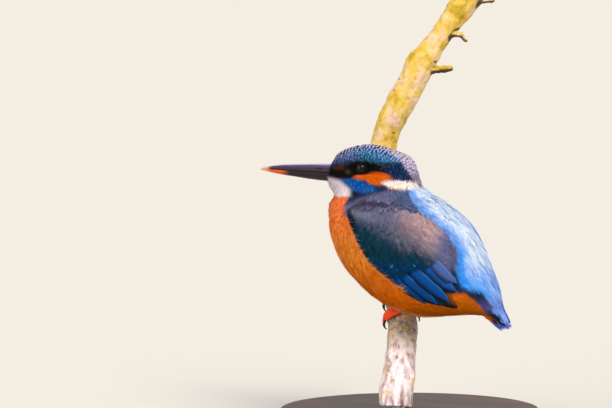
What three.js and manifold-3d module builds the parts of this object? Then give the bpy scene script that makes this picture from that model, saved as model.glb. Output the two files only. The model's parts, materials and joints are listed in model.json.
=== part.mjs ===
// A common kingfisher (Alcedo atthis) at life size, perched across a short cut length of crooked branch that stands on
// a display base. Millimetres, +Z up. The bird's trunk faces -X and is symmetrical about its own XZ plane, and its head
// is turned towards its left side, which is -Y. The origin is the centre of the base's underside.
import * as THREE from "three";
import { mergeVertices } from "three/addons/utils/BufferGeometryUtils.js";
import Module from "manifold-3d";

const wasm = await Module();
wasm.setup();

// ---------------------------------------------------------------- driving dimensions

const GAP = 0.3; // clearance between neighbouring solids
const GRIP = new THREE.Vector3(0, -7, 50); // where the bird grips the branch, on the branch's axis

// The bird's frame has its origin at GRIP. Its trunk, neck and head are one skin over rings that fan from the bill to
// the tail. Each station gives the ring's dorsal point and ventral point in the XZ plane and its half-width.
const BODY_STATIONS = [
  // dorsal x, z, ventral x, z, half-width
  [-36.7, 74.5, -38.6, 66.8, 3.4], // bill root
  [-34.3, 77.8, -37.1, 64.9, 5.9], // forehead, chin
  [-30.9, 80.7, -35.7, 63.0, 8.3],
  [-26.1, 82.7, -34.6, 61.4, 10.2],
  [-20.8, 84.0, -34.0, 60.2, 11.4], // crown, throat
  [-15.1, 84.1, -34.0, 59.2, 12.1],
  [-8.8, 82.8, -34.6, 58.0, 12.5],
  [-2.6, 80.7, -35.5, 56.8, 12.7],
  [2.7, 78.6, -36.5, 55.6, 12.9], // nape crest
  [5.3, 74.6, -36.4, 54.4, 13.4],
  [6.3, 69.4, -36.9, 52.6, 14.5],
  [8.0, 64.6, -36.7, 50.4, 16.0], // foot of the nape, breast
  [11.0, 61.9, -36.9, 47.8, 17.7],
  [15.8, 59.5, -37.0, 44.4, 19.5], // mantle
  [24.2, 55.8, -36.7, 40.5, 21.2],
  [31.2, 51.0, -35.4, 36.0, 22.5],
  [37.3, 44.8, -33.0, 31.0, 23.6], // back, belly
  [41.5, 38.4, -29.0, 25.0, 23.9],
  [45.0, 32.0, -22.6, 19.0, 23.4],
  [47.7, 26.0, -14.6, 12.6, 22.0],
  [50.2, 21.0, -4.6, 7.4, 19.8], // rump, vent
  [51.9, 16.8, 8.0, 3.6, 16.6],
  [53.2, 13.2, 22.0, 4.2, 12.8],
  [54.6, 10.4, 36.0, 6.2, 8.6],
  [56.2, 7.8, 46.5, 6.2, 4.6], // tail coverts
];
const BODY_FULLNESS = 2.05; // 2 makes each ring an ellipse, and more makes it squarer
const HEAD_TURN = THREE.MathUtils.degToRad(24);
const HEAD_PIVOT_X = -11.5; // the upright axis that the head turns about
const TURN_ENDS = [9, 16]; // stations between which the turn fades from all to none

const HEAD_CUT = { x: -14, z: 60.6, tilt: 8 }; // planes that part head, neck and trunk, in millimetres and degrees
const NECK_CUT = { x: -10, z: 54.2, tilt: 14 };

const EYE = { x: -19.8, y: 9.3, z: 73.4, radius: 3.4 };

// Bill sections from root to tip: x, culmen height, mouth height, gonys height, half-width.
const BILL_STATIONS = [
  [-32.5, 74.6, 70.3, 66.3, 3.5],
  [-36.7, 74.5, 70.7, 66.3, 3.3],
  [-44.7, 74.4, 70.9, 67.1, 2.6],
  [-52.9, 74.1, 71.1, 68.3, 1.9],
  [-60.4, 73.7, 71.4, 69.4, 1.2],
  [-66.0, 72.8, 71.6, 70.6, 0.65],
  [-69.3, 72.0, 71.65, 71.3, 0.25],
];

// Folded wing, seen from the bird's side: its outline, and the outlines that part it, as x, z.
const WING_OUTLINE = [
  [-19.5, 53.5],
  [-15.5, 46.0],
  [-10.8, 39.5],
  [-3.4, 30.5],
  [5.5, 24.0],
  [13.9, 18.6],
  [21.6, 14.0],
  [30.0, 10.8],
  [38.5, 9.6],
  [39.6, 13.0],
  [38.4, 20.0],
  [37.3, 28.2],
  [35.5, 37.0],
  [30.5, 46.5],
  [20.5, 53.6],
  [9.0, 56.6],
  [-3.0, 57.2],
  [-13.5, 57.4],
];
const SCAPULAR_EDGE = [
  [-22, 51.5],
  [-12, 50.5],
  [2, 48.5],
  [14, 44.5],
  [24, 38.0],
  [31, 30.0],
  [37, 22.0],
];
const COVERT_EDGE = [
  [-6, 27.0],
  [6, 27.0],
  [14, 27.6],
  [21, 30.0],
  [27, 30.5],
  [40, 18.0],
];
const WING_LIFT = { flight: 1.4, coverts: 2.0, scapulars: 2.3 }; // how thick each panel is on the flank
const SPINE_SHARE = 0.3; // share of that thickness left towards the spine and the keel
const PRISM_REACH = 60; // longer than the bird is wide

// Tail feathers as one shut fan: root and tip in the XZ plane.
const TAIL = {
  root: [40, 14.2],
  tip: [59.8, 0.1],
  rootHalf: 4.6,
  tipHalf: 6.4,
  thick: 2.2,
  arch: 1.4,
};

// The perch's frame has its origin at GRIP and is turned about the upright axis. Its X runs across the branch.
const PERCH_TURN = THREE.MathUtils.degToRad(32);
const PERCH_PATH = [
  // x, y, z, radius
  [-3.0, -20.5, -38.0, 8.0],
  [-2.5, -19.5, -31.0, 8.0],
  [-1.6, -16.3, -22.0, 7.8],
  [-0.7, -11.0, -12.8, 7.6],
  [0.0, -4.0, -5.2, 7.5],
  [0.0, 5.0, 1.4, 7.4],
  [-0.4, 18.2, 9.4, 7.2],
  [-1.9, 31.0, 19.5, 7.0],
  [-4.3, 38.0, 33.0, 6.8],
  [-7.4, 41.0, 49.0, 6.6],
  [-9.2, 42.0, 64.0, 6.5],
  [-8.3, 43.0, 81.0, 6.6],
  [-6.0, 43.5, 89.5, 6.9],
  [0.2, 44.5, 101.4, 7.3],
  [6.0, 46.0, 112.0, 7.2],
  [9.3, 47.0, 119.7, 7.5],
  [13.6, 48.0, 124.9, 6.4],
  [17.8, 49.0, 131.0, 5.4],
  [21.9, 50.0, 136.6, 5.6],
  [27.3, 51.0, 143.7, 6.5],
  [35.5, 53.0, 153.9, 6.8],
];
// Broken twigs on the branch, as a root, an elbow and a tip, with the root's and tip's radii.
const TWIGS = [
  { root: [9.5, 46.0, 114.6], elbow: [18.5, 45.0, 116.4], tip: [24.6, 45.0, 117.0], radii: [2.6, 1.5] },
  { root: [19.0, 48.5, 130.0], elbow: [27.0, 47.5, 133.6], tip: [31.4, 47.5, 129.6], radii: [2.3, 1.0] },
  { root: [31.0, 51.0, 147.2], elbow: [38.5, 50.5, 148.4], tip: [44.5, 50.5, 149.4], radii: [2.2, 1.2] },
];

// Feet, placed along the branch by the Y of the perch's frame, with their toes laid round the bark.
const FEET = { left: 1.6, right: 13.2 };
const TOE_RADIUS = 1.1;
const FOOT_ROOM = 8.6; // how much of the branch a foot takes up
const TOES = [
  // name, offset along the branch, angles round it from its top (negative to the front), claw length
  { name: "inner", along: -2.3, from: -4, to: -60, claw: 4.0 },
  { name: "middle", along: 0.0, from: -4, to: -84, claw: 4.6 },
  { name: "outer", along: 2.2, from: -4, to: -74, claw: 4.2 },
  { name: "hind", along: 0.2, from: 4, to: 52, claw: 4.4 },
];
const LEG = { radius: 1.35, length: 7.5 };

const BASE = { radius: 62, thick: 8, bevel: 1.6 };
const RODS = [
  // places in the perch's frame, and radii
  { name: "stand_rod_front", x: -3.0, y: -20.5, radius: 3.0 },
  { name: "stand_rod_rear", x: -0.2, y: 5.0, radius: 2.2 },
];

const COLOURS = {
  azure: [0x4f9be6, 0.5],
  teal: [0x0d4a6b, 0.5],
  dusk: [0x5a5568, 0.6],
  orange: [0xd8701c, 0.8],
  blue: [0x12518c, 0.45],
  bill: [0x1c1620, 0.3],
  eye: [0x0a0706, 0.05],
  coral: [0xe8401a, 0.5],
  horn: [0x1f1413, 0.4],
  bark: [0xb9a55e, 0.85],
  steel: [0x9a9a9e, 0.35],
  wood: [0x3a2416, 0.5],
};

// ---------------------------------------------------------------- shapes

/** A closed skin made from a sphere, whose poles and rings are carried to place(t, angle), with t from 0 to 1. */
function skin(place, around, along) {
  const sphere = new THREE.SphereGeometry(1, around, along);
  const { position, uv } = sphere.attributes;
  for (let i = 0; i < position.count; i++) {
    const ring = Math.round((1 - uv.getY(i)) * along);
    const angle = 2 * Math.PI * (Math.round(uv.getX(i) * around * 2) / (around * 2));
    const end = ring === 0 ? 0 : 1;
    const pole = ring === 0 || ring === along;
    const t = pole ? end : (ring - 1) / (along - 2);
    position.setXYZ(i, ...place(t, angle, pole));
  }
  sphere.deleteAttribute("normal");
  sphere.deleteAttribute("uv");
  return mergeVertices(sphere, 1e-4);
}

/** A manifold solid from a geometry, turned face outwards if its mapping mirrored it. */
function solid(geometry) {
  const bare = geometry.clone();
  bare.deleteAttribute("normal");
  bare.deleteAttribute("uv");
  const merged = mergeVertices(bare, 1e-4);
  const triVerts = new Uint32Array(merged.index.array);
  const build = () =>
    new wasm.Manifold(
      new wasm.Mesh({ numProp: 3, vertProperties: new Float32Array(merged.attributes.position.array), triVerts }),
    );
  const made = build();
  if (made.volume() > 0) return made;
  for (let i = 0; i < triVerts.length; i += 3) {
    [triVerts[i + 1], triVerts[i + 2]] = [triVerts[i + 2], triVerts[i + 1]];
  }
  return build();
}

/** The geometry of a manifold solid, or of its largest piece where a cut left crumbs. */
function geometryOf(manifold) {
  const whole = manifold.decompose().reduce((a, b) => (b.volume() > a.volume() ? b : a));
  const mesh = whole.getMesh();
  const geometry = new THREE.BufferGeometry();
  geometry.setAttribute("position", new THREE.BufferAttribute(new Float32Array(mesh.vertProperties), 3));
  geometry.setIndex(new THREE.BufferAttribute(new Uint32Array(mesh.triVerts), 1));
  geometry.computeVertexNormals();
  return geometry;
}

/** A smooth curve through rows of numbers, three at a time, read at a share t of its rows. */
function track(rows) {
  const curve = new THREE.CatmullRomCurve3(rows.map((row) => new THREE.Vector3(...row)), false, "centripetal");
  return (t) => curve.getPoint(THREE.MathUtils.clamp(t, 0, 1));
}

/** The piece of a cut solid that reaches lowest. */
function lowestPiece(manifold) {
  return manifold.decompose().reduce((a, b) => (b.boundingBox().min[2] < a.boundingBox().min[2] ? b : a));
}

// ---------------------------------------------------------------- body

/** Turns a point of the straight-necked bird about the neck's axis by a share of the head's turn. */
function turned(point, share) {
  const angle = HEAD_TURN * share;
  const dx = point.x - HEAD_PIVOT_X;
  const x = HEAD_PIVOT_X + dx * Math.cos(angle) - point.y * Math.sin(angle);
  const y = dx * Math.sin(angle) + point.y * Math.cos(angle);
  return new THREE.Vector3(x, y, point.z);
}

const dorsalAt = track(BODY_STATIONS.map(([x, z]) => [x, 0, z]));
const ventralAt = track(BODY_STATIONS.map(([, , x, z]) => [x, 0, z]));
const widthAt = track(BODY_STATIONS.map(([, , , , half], i) => [half, i, 0]));

/** The share of the head's turn that a ring takes. */
function turnShare(t) {
  const station = t * (BODY_STATIONS.length - 1);
  return 1 - THREE.MathUtils.smoothstep(station, ...TURN_ENDS);
}

/** The whole body from bill root to tail coverts, swollen by lift millimetres, and by more on its flanks. */
function bodySkin(lift, flankLift = 0, around = 24, along = 35) {
  const place = (t, angle, pole) => {
    const dorsal = dorsalAt(t);
    const ventral = ventralAt(t);
    const centre = dorsal.clone().add(ventral).multiplyScalar(0.5);
    const up = dorsal.clone().sub(centre);
    const cos = Math.cos(angle);
    const sin = Math.sin(angle);
    const swell = lift + flankLift * THREE.MathUtils.lerp(SPINE_SHARE, 1, Math.abs(cos));
    const reach = up.length() + swell;
    up.normalize();
    const round = (v) => Math.sign(v) * Math.abs(v) ** (2 / BODY_FULLNESS);
    const half = widthAt(t).x + swell;
    const point = centre.clone();
    if (!pole) {
      point.addScaledVector(up, reach * round(sin));
      point.y += half * round(cos);
    }
    return turned(point, turnShare(t));
  };
  return skin(place, around, along);
}

/** A slab wide enough to cut the bird, whose top or bottom lies on a tilted plane. */
function halfSpace({ x, z, tilt }, side, shift = 0) {
  const size = 4 * PRISM_REACH;
  const box = new THREE.BoxGeometry(size, size, size);
  box.translate(0, 0, (side * size) / 2 + shift);
  box.rotateY(THREE.MathUtils.degToRad(-tilt));
  box.translate(x, 0, z);
  return solid(box);
}

// ---------------------------------------------------------------- bill and eyes

/** One mandible: side 1 is the upper one, -1 the lower one. extra swells it, for the socket in the face. */
function mandible(side, extra = 0) {
  const ridgeAt = track(BILL_STATIONS.map(([x, culmen, , gonys]) => [x, 0, side > 0 ? culmen : gonys]));
  const mouthAt = track(BILL_STATIONS.map(([x, , mouth, , half]) => [x, half, mouth]));
  const place = (t, angle, pole) => {
    const mouth = mouthAt(t);
    const height = side * (ridgeAt(t).z - mouth.z) - GAP / 2 + 2 * extra;
    const sin = Math.sin(angle);
    const floor = side * (GAP / 2 - extra);
    const rise = sin > 0 ? height * sin ** 0.85 : 0;
    const tipOrRoot = t < 0.5 ? extra : -extra;
    const x = mouth.x + tipOrRoot;
    if (pole) return turned(new THREE.Vector3(x, 0, mouth.z + floor + (side * height) / 3), 1);
    return turned(new THREE.Vector3(x, (mouth.y + extra) * Math.cos(angle), mouth.z + floor + side * rise), 1);
  };
  return skin(place, 12, 10);
}

/** An eyeball on the given side of the head, -1 for the left. */
function eyeball(side, extra = 0) {
  const centre = turned(new THREE.Vector3(EYE.x, side * EYE.y, EYE.z), 1);
  return new THREE.SphereGeometry(EYE.radius + extra, 14, 9).translate(centre.x, centre.y, centre.z);
}

// ---------------------------------------------------------------- wings and tail

/** A prism across one side of the bird over an outline seen from its side. */
function prism(outline, side, shift = [0, 0]) {
  const points = outline.map(([x, z]) => new THREE.Vector2(x + shift[0], z + shift[1]));
  const geometry = new THREE.ExtrudeGeometry(new THREE.Shape(points), { depth: PRISM_REACH, bevelEnabled: false });
  geometry.rotateX(Math.PI / 2);
  if (side > 0) geometry.translate(0, PRISM_REACH, 0);
  return solid(geometry);
}

/** A closed outline on one side of an open edge: everything above it, or below it. */
function beyond(edge, above) {
  const far = above ? 3 * PRISM_REACH : -3 * PRISM_REACH;
  const first = edge[0];
  const last = edge[edge.length - 1];
  return [...edge, [last[0] + 30, last[1]], [last[0] + 30, far], [first[0] - 30, far], [first[0] - 30, first[1]]];
}

/** A closed outline through a few points, rounded between them. */
function rounded(points, steps) {
  const curve = new THREE.SplineCurve([...points, points[0]].map((p) => new THREE.Vector2(...p)));
  return curve.getPoints(steps).slice(0, -1).map((p) => [p.x, p.y]);
}

/** The three panels of a folded wing, each a shell over the trunk. */
function wingPanels(side, hugged) {
  const whole = prism(rounded(WING_OUTLINE, 34), side);
  const shell = (lift) => solid(bodySkin(GAP, lift)).intersect(whole).subtract(hugged);
  const scapularZone = prism(beyond(SCAPULAR_EDGE, true), side);
  const covertZone = prism(beyond(COVERT_EDGE, true), side);
  const belowScapulars = prism(beyond(SCAPULAR_EDGE, true), side, [-0.2, -GAP]);
  const belowCoverts = prism(beyond(COVERT_EDGE, true), side, [-0.2, -GAP]);
  return {
    scapulars: shell(WING_LIFT.scapulars).intersect(scapularZone),
    coverts: shell(WING_LIFT.coverts).intersect(covertZone).subtract(belowScapulars).subtract(scapularZone),
    flight: shell(WING_LIFT.flight).subtract(belowCoverts).subtract(covertZone).subtract(belowScapulars),
  };
}

/** The shut tail: an arched plate that widens to a rounded tip. */
function tailPlate(extra = 0) {
  const root = new THREE.Vector3(TAIL.root[0], 0, TAIL.root[1]);
  const tip = new THREE.Vector3(TAIL.tip[0], 0, TAIL.tip[1]);
  const along = tip.clone().sub(root);
  const length = along.length();
  along.normalize();
  const up = new THREE.Vector3(-along.z, 0, along.x);
  const place = (t, angle, pole) => {
    const reach = t * length + (t > 0.5 ? extra : -extra);
    const rounding = Math.sqrt(Math.max(0.06, 1 - Math.max(0, (t - 0.8) / 0.2) ** 2.4));
    const half = (THREE.MathUtils.lerp(TAIL.rootHalf, TAIL.tipHalf, t) + extra) * rounding;
    const y = pole ? 0 : half * Math.cos(angle);
    const lift = pole ? 0 : (TAIL.thick / 2 + extra) * Math.sign(Math.sin(angle)) * Math.abs(Math.sin(angle)) ** 0.5;
    const point = root.clone().addScaledVector(along, reach);
    point.addScaledVector(up, lift - TAIL.arch * (y / TAIL.tipHalf) ** 2);
    point.y = y;
    return point;
  };
  return skin(place, 14, 10);
}

// ---------------------------------------------------------------- perch, feet and stand

/** A round limb along a curve, whose radius changes, with flat ends. */
function limb(curve, radiusAt, around, along, extra = 0) {
  const frames = curve.computeFrenetFrames(along - 2, false);
  const place = (t, angle, pole) => {
    const i = Math.round(t * (along - 2));
    const point = curve.getPoint(t);
    const outwards = t < 0.5 ? -extra : extra;
    if (t === 0 || t === 1) point.addScaledVector(frames.tangents[i], outwards);
    if (pole) return point;
    const radius = radiusAt(t) + extra;
    point.addScaledVector(frames.normals[i], radius * Math.cos(angle));
    return point.addScaledVector(frames.binormals[i], radius * Math.sin(angle));
  };
  return skin(place, around, along);
}

const perchCurve = new THREE.CatmullRomCurve3(PERCH_PATH.map(([x, y, z]) => new THREE.Vector3(x, y, z)));
const perchRadius = track(PERCH_PATH.map((row, i) => [row[3], i, 0]));

/** The branch with its broken twigs, in the perch's frame. */
function perchSolid(extra = 0) {
  let made = solid(limb(perchCurve, (t) => perchRadius(t).x, 10, 40, extra));
  for (const { root, elbow, tip, radii } of TWIGS) {
    const curve = new THREE.CatmullRomCurve3([root, elbow, tip].map((p) => new THREE.Vector3(...p)));
    made = made.add(solid(limb(curve, (t) => THREE.MathUtils.lerp(...radii, t), 6, 5, extra)));
  }
  return made;
}

/** The place on the branch where a foot sits: its centre and the directions along it, across it and up from it. */
function footing(y) {
  const steps = 400;
  const points = perchCurve.getPoints(steps);
  const i = points.findIndex((p) => p.y >= y);
  const t = i / steps;
  const along = perchCurve.getTangent(t);
  const front = new THREE.Vector3(1, 0, 0).addScaledVector(along, -along.x).normalize();
  const up = new THREE.Vector3().crossVectors(front, along).normalize();
  return { centre: points[i], along, front, up, radius: perchRadius(t).x };
}

/** A point beside the branch at an angle from its top, negative to the front, and height above the bark. */
function besideBark({ centre, along, front, up, radius }, offset, degrees, height) {
  const angle = THREE.MathUtils.degToRad(degrees);
  return centre
    .clone()
    .addScaledVector(along, offset)
    .addScaledVector(up, (radius + height) * Math.cos(angle))
    .addScaledVector(front, (radius + height) * Math.sin(angle));
}

/** A toe laid round the bark, fattest at its root. */
function toe(place, { along, from, to }) {
  const height = TOE_RADIUS + GAP;
  const points = [0, 0.25, 0.5, 0.75, 1].map((share) =>
    besideBark(place, along * Math.min(1, 0.45 + share), THREE.MathUtils.lerp(from, to, share), height),
  );
  const curve = new THREE.CatmullRomCurve3(points);
  return limb(curve, (t) => TOE_RADIUS * (1.08 - 0.26 * t), 7, 6);
}

/** A claw that carries on from its toe and bites the bark. */
function claw(place, { along, to, claw: length }) {
  const step = Math.sign(to) * THREE.MathUtils.radToDeg(length / (place.radius + TOE_RADIUS));
  const start = to + Math.sign(to) * 2.6;
  const points = [
    besideBark(place, along, start, TOE_RADIUS + GAP),
    besideBark(place, along, start + step * 0.55, TOE_RADIUS * 0.95 + GAP),
    besideBark(place, along, start + step, GAP + 0.35),
  ];
  return limb(new THREE.CatmullRomCurve3(points), (t) => 0.72 * (1 - t) + 0.27 * t, 6, 5);
}

/** The toes of a foot and the pad that joins them. */
function footSolid(place) {
  const pad = new THREE.SphereGeometry(TOE_RADIUS * 1.25, 8, 6);
  const middle = besideBark(place, 0, 0, TOE_RADIUS + GAP);
  pad.translate(middle.x, middle.y, middle.z);
  return TOES.reduce((made, one) => made.add(solid(toe(place, one))), solid(pad));
}

/** The drum round the branch that a foot fills, which the belly stays out of. */
function footRoom(place) {
  const radius = place.radius + 2.3 * TOE_RADIUS + 2 * GAP;
  const drum = new THREE.CylinderGeometry(radius, radius, FOOT_ROOM, 12);
  drum.applyQuaternion(new THREE.Quaternion().setFromUnitVectors(new THREE.Vector3(0, 1, 0), place.along));
  return drum.translate(place.centre.x, place.centre.y, place.centre.z);
}

/** The shank from the foot up into the belly. */
function shank(place, extra = 0) {
  const foot = besideBark(place, 0, 0, 2 * TOE_RADIUS + 2 * GAP);
  const lean = new THREE.Vector3(0.25, 0, 1).normalize();
  const knee = foot.clone().addScaledVector(lean, LEG.length);
  const curve = new THREE.LineCurve3(foot, knee);
  return limb(curve, (t) => LEG.radius * (1 + 0.15 * t), 8, 4, extra);
}

/** The round base, bevelled at its top edge. */
function baseGeometry() {
  const { radius, thick, bevel } = BASE;
  const profile = [
    [0, 0],
    [radius - bevel / 2, 0],
    [radius, bevel / 2],
    [radius, thick - bevel],
    [radius - bevel * 0.3, thick - bevel * 0.3],
    [radius - bevel, thick],
    [0, thick],
  ];
  return new THREE.LatheGeometry(profile.map((p) => new THREE.Vector2(...p)), 44).rotateX(Math.PI / 2);
}

// ---------------------------------------------------------------- assembly

const toPerch = new THREE.Matrix4().makeRotationZ(PERCH_TURN);

/** A solid of the perch's frame, carried into the bird's frame. */
function inBirdFrame(geometry) {
  return solid(geometry.clone().applyMatrix4(toPerch));
}

/** Adds a named mesh of a colour to a group. */
function add(group, name, geometry, colour) {
  const [color, roughness] = COLOURS[colour];
  const metalness = colour === "steel" ? 0.9 : 0;
  const mesh = new THREE.Mesh(geometry, new THREE.MeshStandardMaterial({ color, roughness, metalness }));
  mesh.name = name;
  group.add(mesh);
}

const root = new THREE.Group();
const bird = new THREE.Group();
const perch = new THREE.Group();
bird.position.copy(GRIP);
perch.position.copy(GRIP);
perch.rotation.z = PERCH_TURN;
root.add(bird, perch);

const branch = perchSolid();
add(perch, "perch", geometryOf(branch), "bark");

const feet = Object.entries(FEET).map(([name, y]) => ({ name, place: footing(y) }));
const barkRoom = inBirdFrame(geometryOf(perchSolid(GAP)));
let keepClear = barkRoom;
for (const { name, place } of feet) {
  const foot = footSolid(place);
  add(perch, `foot_${name}`, geometryOf(foot), "coral");
  add(perch, `leg_${name}`, geometryOf(solid(shank(place)).subtract(solid(footRoom(place)))), "coral");
  for (const one of TOES) add(perch, `claw_${name}_${one.name}`, geometryOf(solid(claw(place, one))), "horn");
  keepClear = keepClear.add(inBirdFrame(footRoom(place))).add(inBirdFrame(shank(place, GAP)));
}

const body = solid(bodySkin(0));
const tail = tailPlate();
const eyes = [
  ["left", -1],
  ["right", 1],
];
const head = eyes
  .reduce((made, [, side]) => made.subtract(solid(eyeball(side, GAP))), body.intersect(halfSpace(HEAD_CUT, 1)))
  .subtract(solid(mandible(1, GAP)))
  .subtract(solid(mandible(-1, GAP)));
const neck = body.intersect(halfSpace(HEAD_CUT, -1, -GAP)).intersect(halfSpace(NECK_CUT, 1));
const trunk = body.intersect(halfSpace(NECK_CUT, -1, -GAP)).subtract(keepClear).subtract(solid(tailPlate(GAP)));

add(bird, "head", geometryOf(head), "teal");
add(bird, "neck", geometryOf(neck.subtract(keepClear)), "orange");
add(bird, "trunk", geometryOf(trunk), "orange");
add(bird, "tail", geometryOf(solid(tail)), "blue");
add(bird, "bill_upper", geometryOf(solid(mandible(1))), "bill");
add(bird, "bill_lower", geometryOf(solid(mandible(-1))), "bill");

const hugged = solid(bodySkin(GAP));
for (const [name, side] of eyes) {
  add(bird, `eye_${name}`, eyeball(side), "eye");
  const panels = wingPanels(side, hugged);
  const clear = (panel) => geometryOf(panel.subtract(keepClear));
  add(bird, `wing_${name}_scapulars`, clear(panels.scapulars), "dusk");
  add(bird, `wing_${name}_coverts`, clear(panels.coverts), "teal");
  add(bird, `wing_${name}_flight`, clear(panels.flight), "blue");
}

add(root, "stand_base", baseGeometry(), "wood");
for (const { name, x, y, radius } of RODS) {
  const foot = new THREE.Vector3(x, y, 0).applyMatrix4(toPerch);
  const rod = new THREE.CylinderGeometry(radius, radius, GRIP.z, 16).rotateX(Math.PI / 2);
  rod.translate(foot.x, foot.y, BASE.thick + GAP - GRIP.z / 2);
  add(bird, name, geometryOf(lowestPiece(solid(rod).subtract(barkRoom))), "steel");
}

export default root;
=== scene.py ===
"""Dresses a life-size common kingfisher that grips a cut length of crooked branch on a display stand.

The bird's frame has its origin where the bird grips the branch, its trunk faces -X, and its left side is -Y.
The straight bird is the same bird with its head not turned. Lengths in the classes are in millimetres, and
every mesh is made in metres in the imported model's frame.
"""

import json
import logging
import math
from dataclasses import dataclass, replace
from enum import Enum

import bpy
import numpy as np
from mathutils import Euler, Matrix, Vector
from mathutils.bvhtree import BVHTree
from mathutils.kdtree import KDTree

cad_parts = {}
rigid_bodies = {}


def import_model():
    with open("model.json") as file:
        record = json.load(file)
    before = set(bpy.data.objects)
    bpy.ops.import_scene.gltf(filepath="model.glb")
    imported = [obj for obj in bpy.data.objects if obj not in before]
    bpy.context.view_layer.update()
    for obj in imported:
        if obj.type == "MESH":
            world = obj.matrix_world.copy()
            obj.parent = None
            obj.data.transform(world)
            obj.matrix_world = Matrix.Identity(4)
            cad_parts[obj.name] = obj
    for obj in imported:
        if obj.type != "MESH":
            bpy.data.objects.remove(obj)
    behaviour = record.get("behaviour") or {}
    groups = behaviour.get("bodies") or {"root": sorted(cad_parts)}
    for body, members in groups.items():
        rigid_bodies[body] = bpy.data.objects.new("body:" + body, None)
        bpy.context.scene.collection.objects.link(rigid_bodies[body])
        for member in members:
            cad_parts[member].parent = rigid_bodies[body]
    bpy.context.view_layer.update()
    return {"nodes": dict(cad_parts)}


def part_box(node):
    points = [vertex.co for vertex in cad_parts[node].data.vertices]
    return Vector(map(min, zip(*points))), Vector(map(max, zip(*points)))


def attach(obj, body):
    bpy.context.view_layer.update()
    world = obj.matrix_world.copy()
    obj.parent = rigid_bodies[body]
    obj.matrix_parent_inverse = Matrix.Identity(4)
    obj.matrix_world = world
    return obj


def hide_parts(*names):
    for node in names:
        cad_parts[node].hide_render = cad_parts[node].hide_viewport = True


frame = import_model()

LOG = logging.getLogger("kingfisher")
MM = 0.001
ROOT = "root"
SEED = 20
GRIP = np.array([0.0, -7.0, 50.0])  # where the bird grips the branch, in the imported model's frame
HEAD_TURN = math.radians(24.0)
HEAD_PIVOT_X = -11.5
TURN_ENDS = (9.0, 16.0)  # stations of the body between which the head's turn fades from all to none
EYE_PLACE = (-19.8, 9.3, 73.4)  # the right eye's centre on the straight bird
LAST_STATION = 24.0
TAIL_TIP = (59.8, 0.0, 0.1)  # in the bird's frame
TAIL_RUN = (0.82, 0.0, -0.57)  # the way the tail points
Array = np.ndarray


# ---------------------------------------------------------------- numbers


def smooth(x: Array, low: float, high: float) -> Array:
    """Rises smoothly from 0 at low to 1 at high, or falls if low is the larger."""
    share = np.clip((np.asarray(x, dtype=float) - low) / (high - low), 0.0, 1.0)
    return share * share * (3.0 - 2.0 * share)


def linear(code: str) -> Array:
    """The linear RGB of a hex colour such as "d8701c"."""
    values = np.array([int(code[i : i + 2], 16) / 255.0 for i in (0, 2, 4)])
    return np.where(values <= 0.04045, values / 12.92, ((values + 0.055) / 1.055) ** 2.4)


def mix(a: Array | str, b: Array | str, share: Array) -> Array:
    """Blends rows, such as colours.

    Args:
        a: Rows, one for all, or a hex colour.
        b: Rows, as a.
        share: How much of b each row takes.

    Returns:
        The blended rows.
    """
    first, second = (linear(rows) if isinstance(rows, str) else np.asarray(rows) for rows in (a, b))
    share = np.asarray(share)[..., None]
    return first * (1.0 - share) + second * share


def unit(vectors: Array) -> Array:
    """Vectors scaled to length 1."""
    return vectors / np.maximum(np.linalg.norm(vectors, axis=-1, keepdims=True), 1e-12)


def turn_share(station: Array) -> Array:
    """The share of the head's turn that a station of the body takes."""
    return 1.0 - smooth(station, *TURN_ENDS)


def turned(points: Array, share: Array) -> Array:
    """Turns points of the straight bird about the neck's axis.

    Args:
        points: Points in millimetres in the bird's frame.
        share: The share of the head's turn that each point takes, negative to undo it.

    Returns:
        The turned points.
    """
    angle = HEAD_TURN * np.asarray(share)
    dx = points[..., 0] - HEAD_PIVOT_X
    x = HEAD_PIVOT_X + dx * np.cos(angle) - points[..., 1] * np.sin(angle)
    y = dx * np.sin(angle) + points[..., 1] * np.cos(angle)
    return np.stack([x, y, points[..., 2]], axis=-1)


def from_bird(points: Array) -> Array:
    """Carries points in millimetres in the bird's frame to metres in the model's frame."""
    return (np.asarray(points, dtype=float) + GRIP) * MM


def to_bird(points: Array) -> Array:
    """Carries points in metres in the model's frame to millimetres in the bird's frame."""
    return np.asarray(points, dtype=float) / MM - GRIP


class Side(Enum):
    """A side of the bird, with the sign of its Y."""

    LEFT = -1
    RIGHT = 1

    @property
    def word(self) -> str:
        """The side's name as the nodes spell it."""
        return self.name.lower()


# ---------------------------------------------------------------- objects


def deselect() -> None:
    """Leaves nothing selected and nothing active."""
    for obj in bpy.context.view_layer.objects:
        obj.select_set(False)
    bpy.context.view_layer.objects.active = None


def select_only(*objs: bpy.types.Object) -> None:
    """Selects these objects and makes the first one active."""
    deselect()
    for obj in objs:
        obj.select_set(True)
    bpy.context.view_layer.objects.active = objs[0]


def apply_modifier(obj: bpy.types.Object, kind: str, **settings: object) -> None:
    """Adds a modifier with settings and applies it.

    Args:
        obj: The object to change.
        kind: Blender's name for the kind of modifier.
        settings: The modifier's properties.
    """
    select_only(obj)
    modifier = obj.modifiers.new(kind.lower(), kind)
    for name, value in settings.items():
        setattr(modifier, name, value)
    bpy.ops.object.modifier_apply(modifier=modifier.name)


def bevel(obj: bpy.types.Object, width: float, segments: int) -> None:
    """Rounds an object's edges of more than 50 degrees by a width in millimetres."""
    angle = math.radians(50.0)
    apply_modifier(
        obj, "BEVEL", width=width * MM, segments=segments, limit_method="ANGLE", angle_limit=angle
    )


def settle(obj: bpy.types.Object, name: str) -> bpy.types.Object:
    """Names an object and moves its place into its mesh."""
    obj.name = name
    obj.data.name = name
    select_only(obj)
    bpy.ops.object.transform_apply(location=True, rotation=True, scale=True)
    return obj


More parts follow.
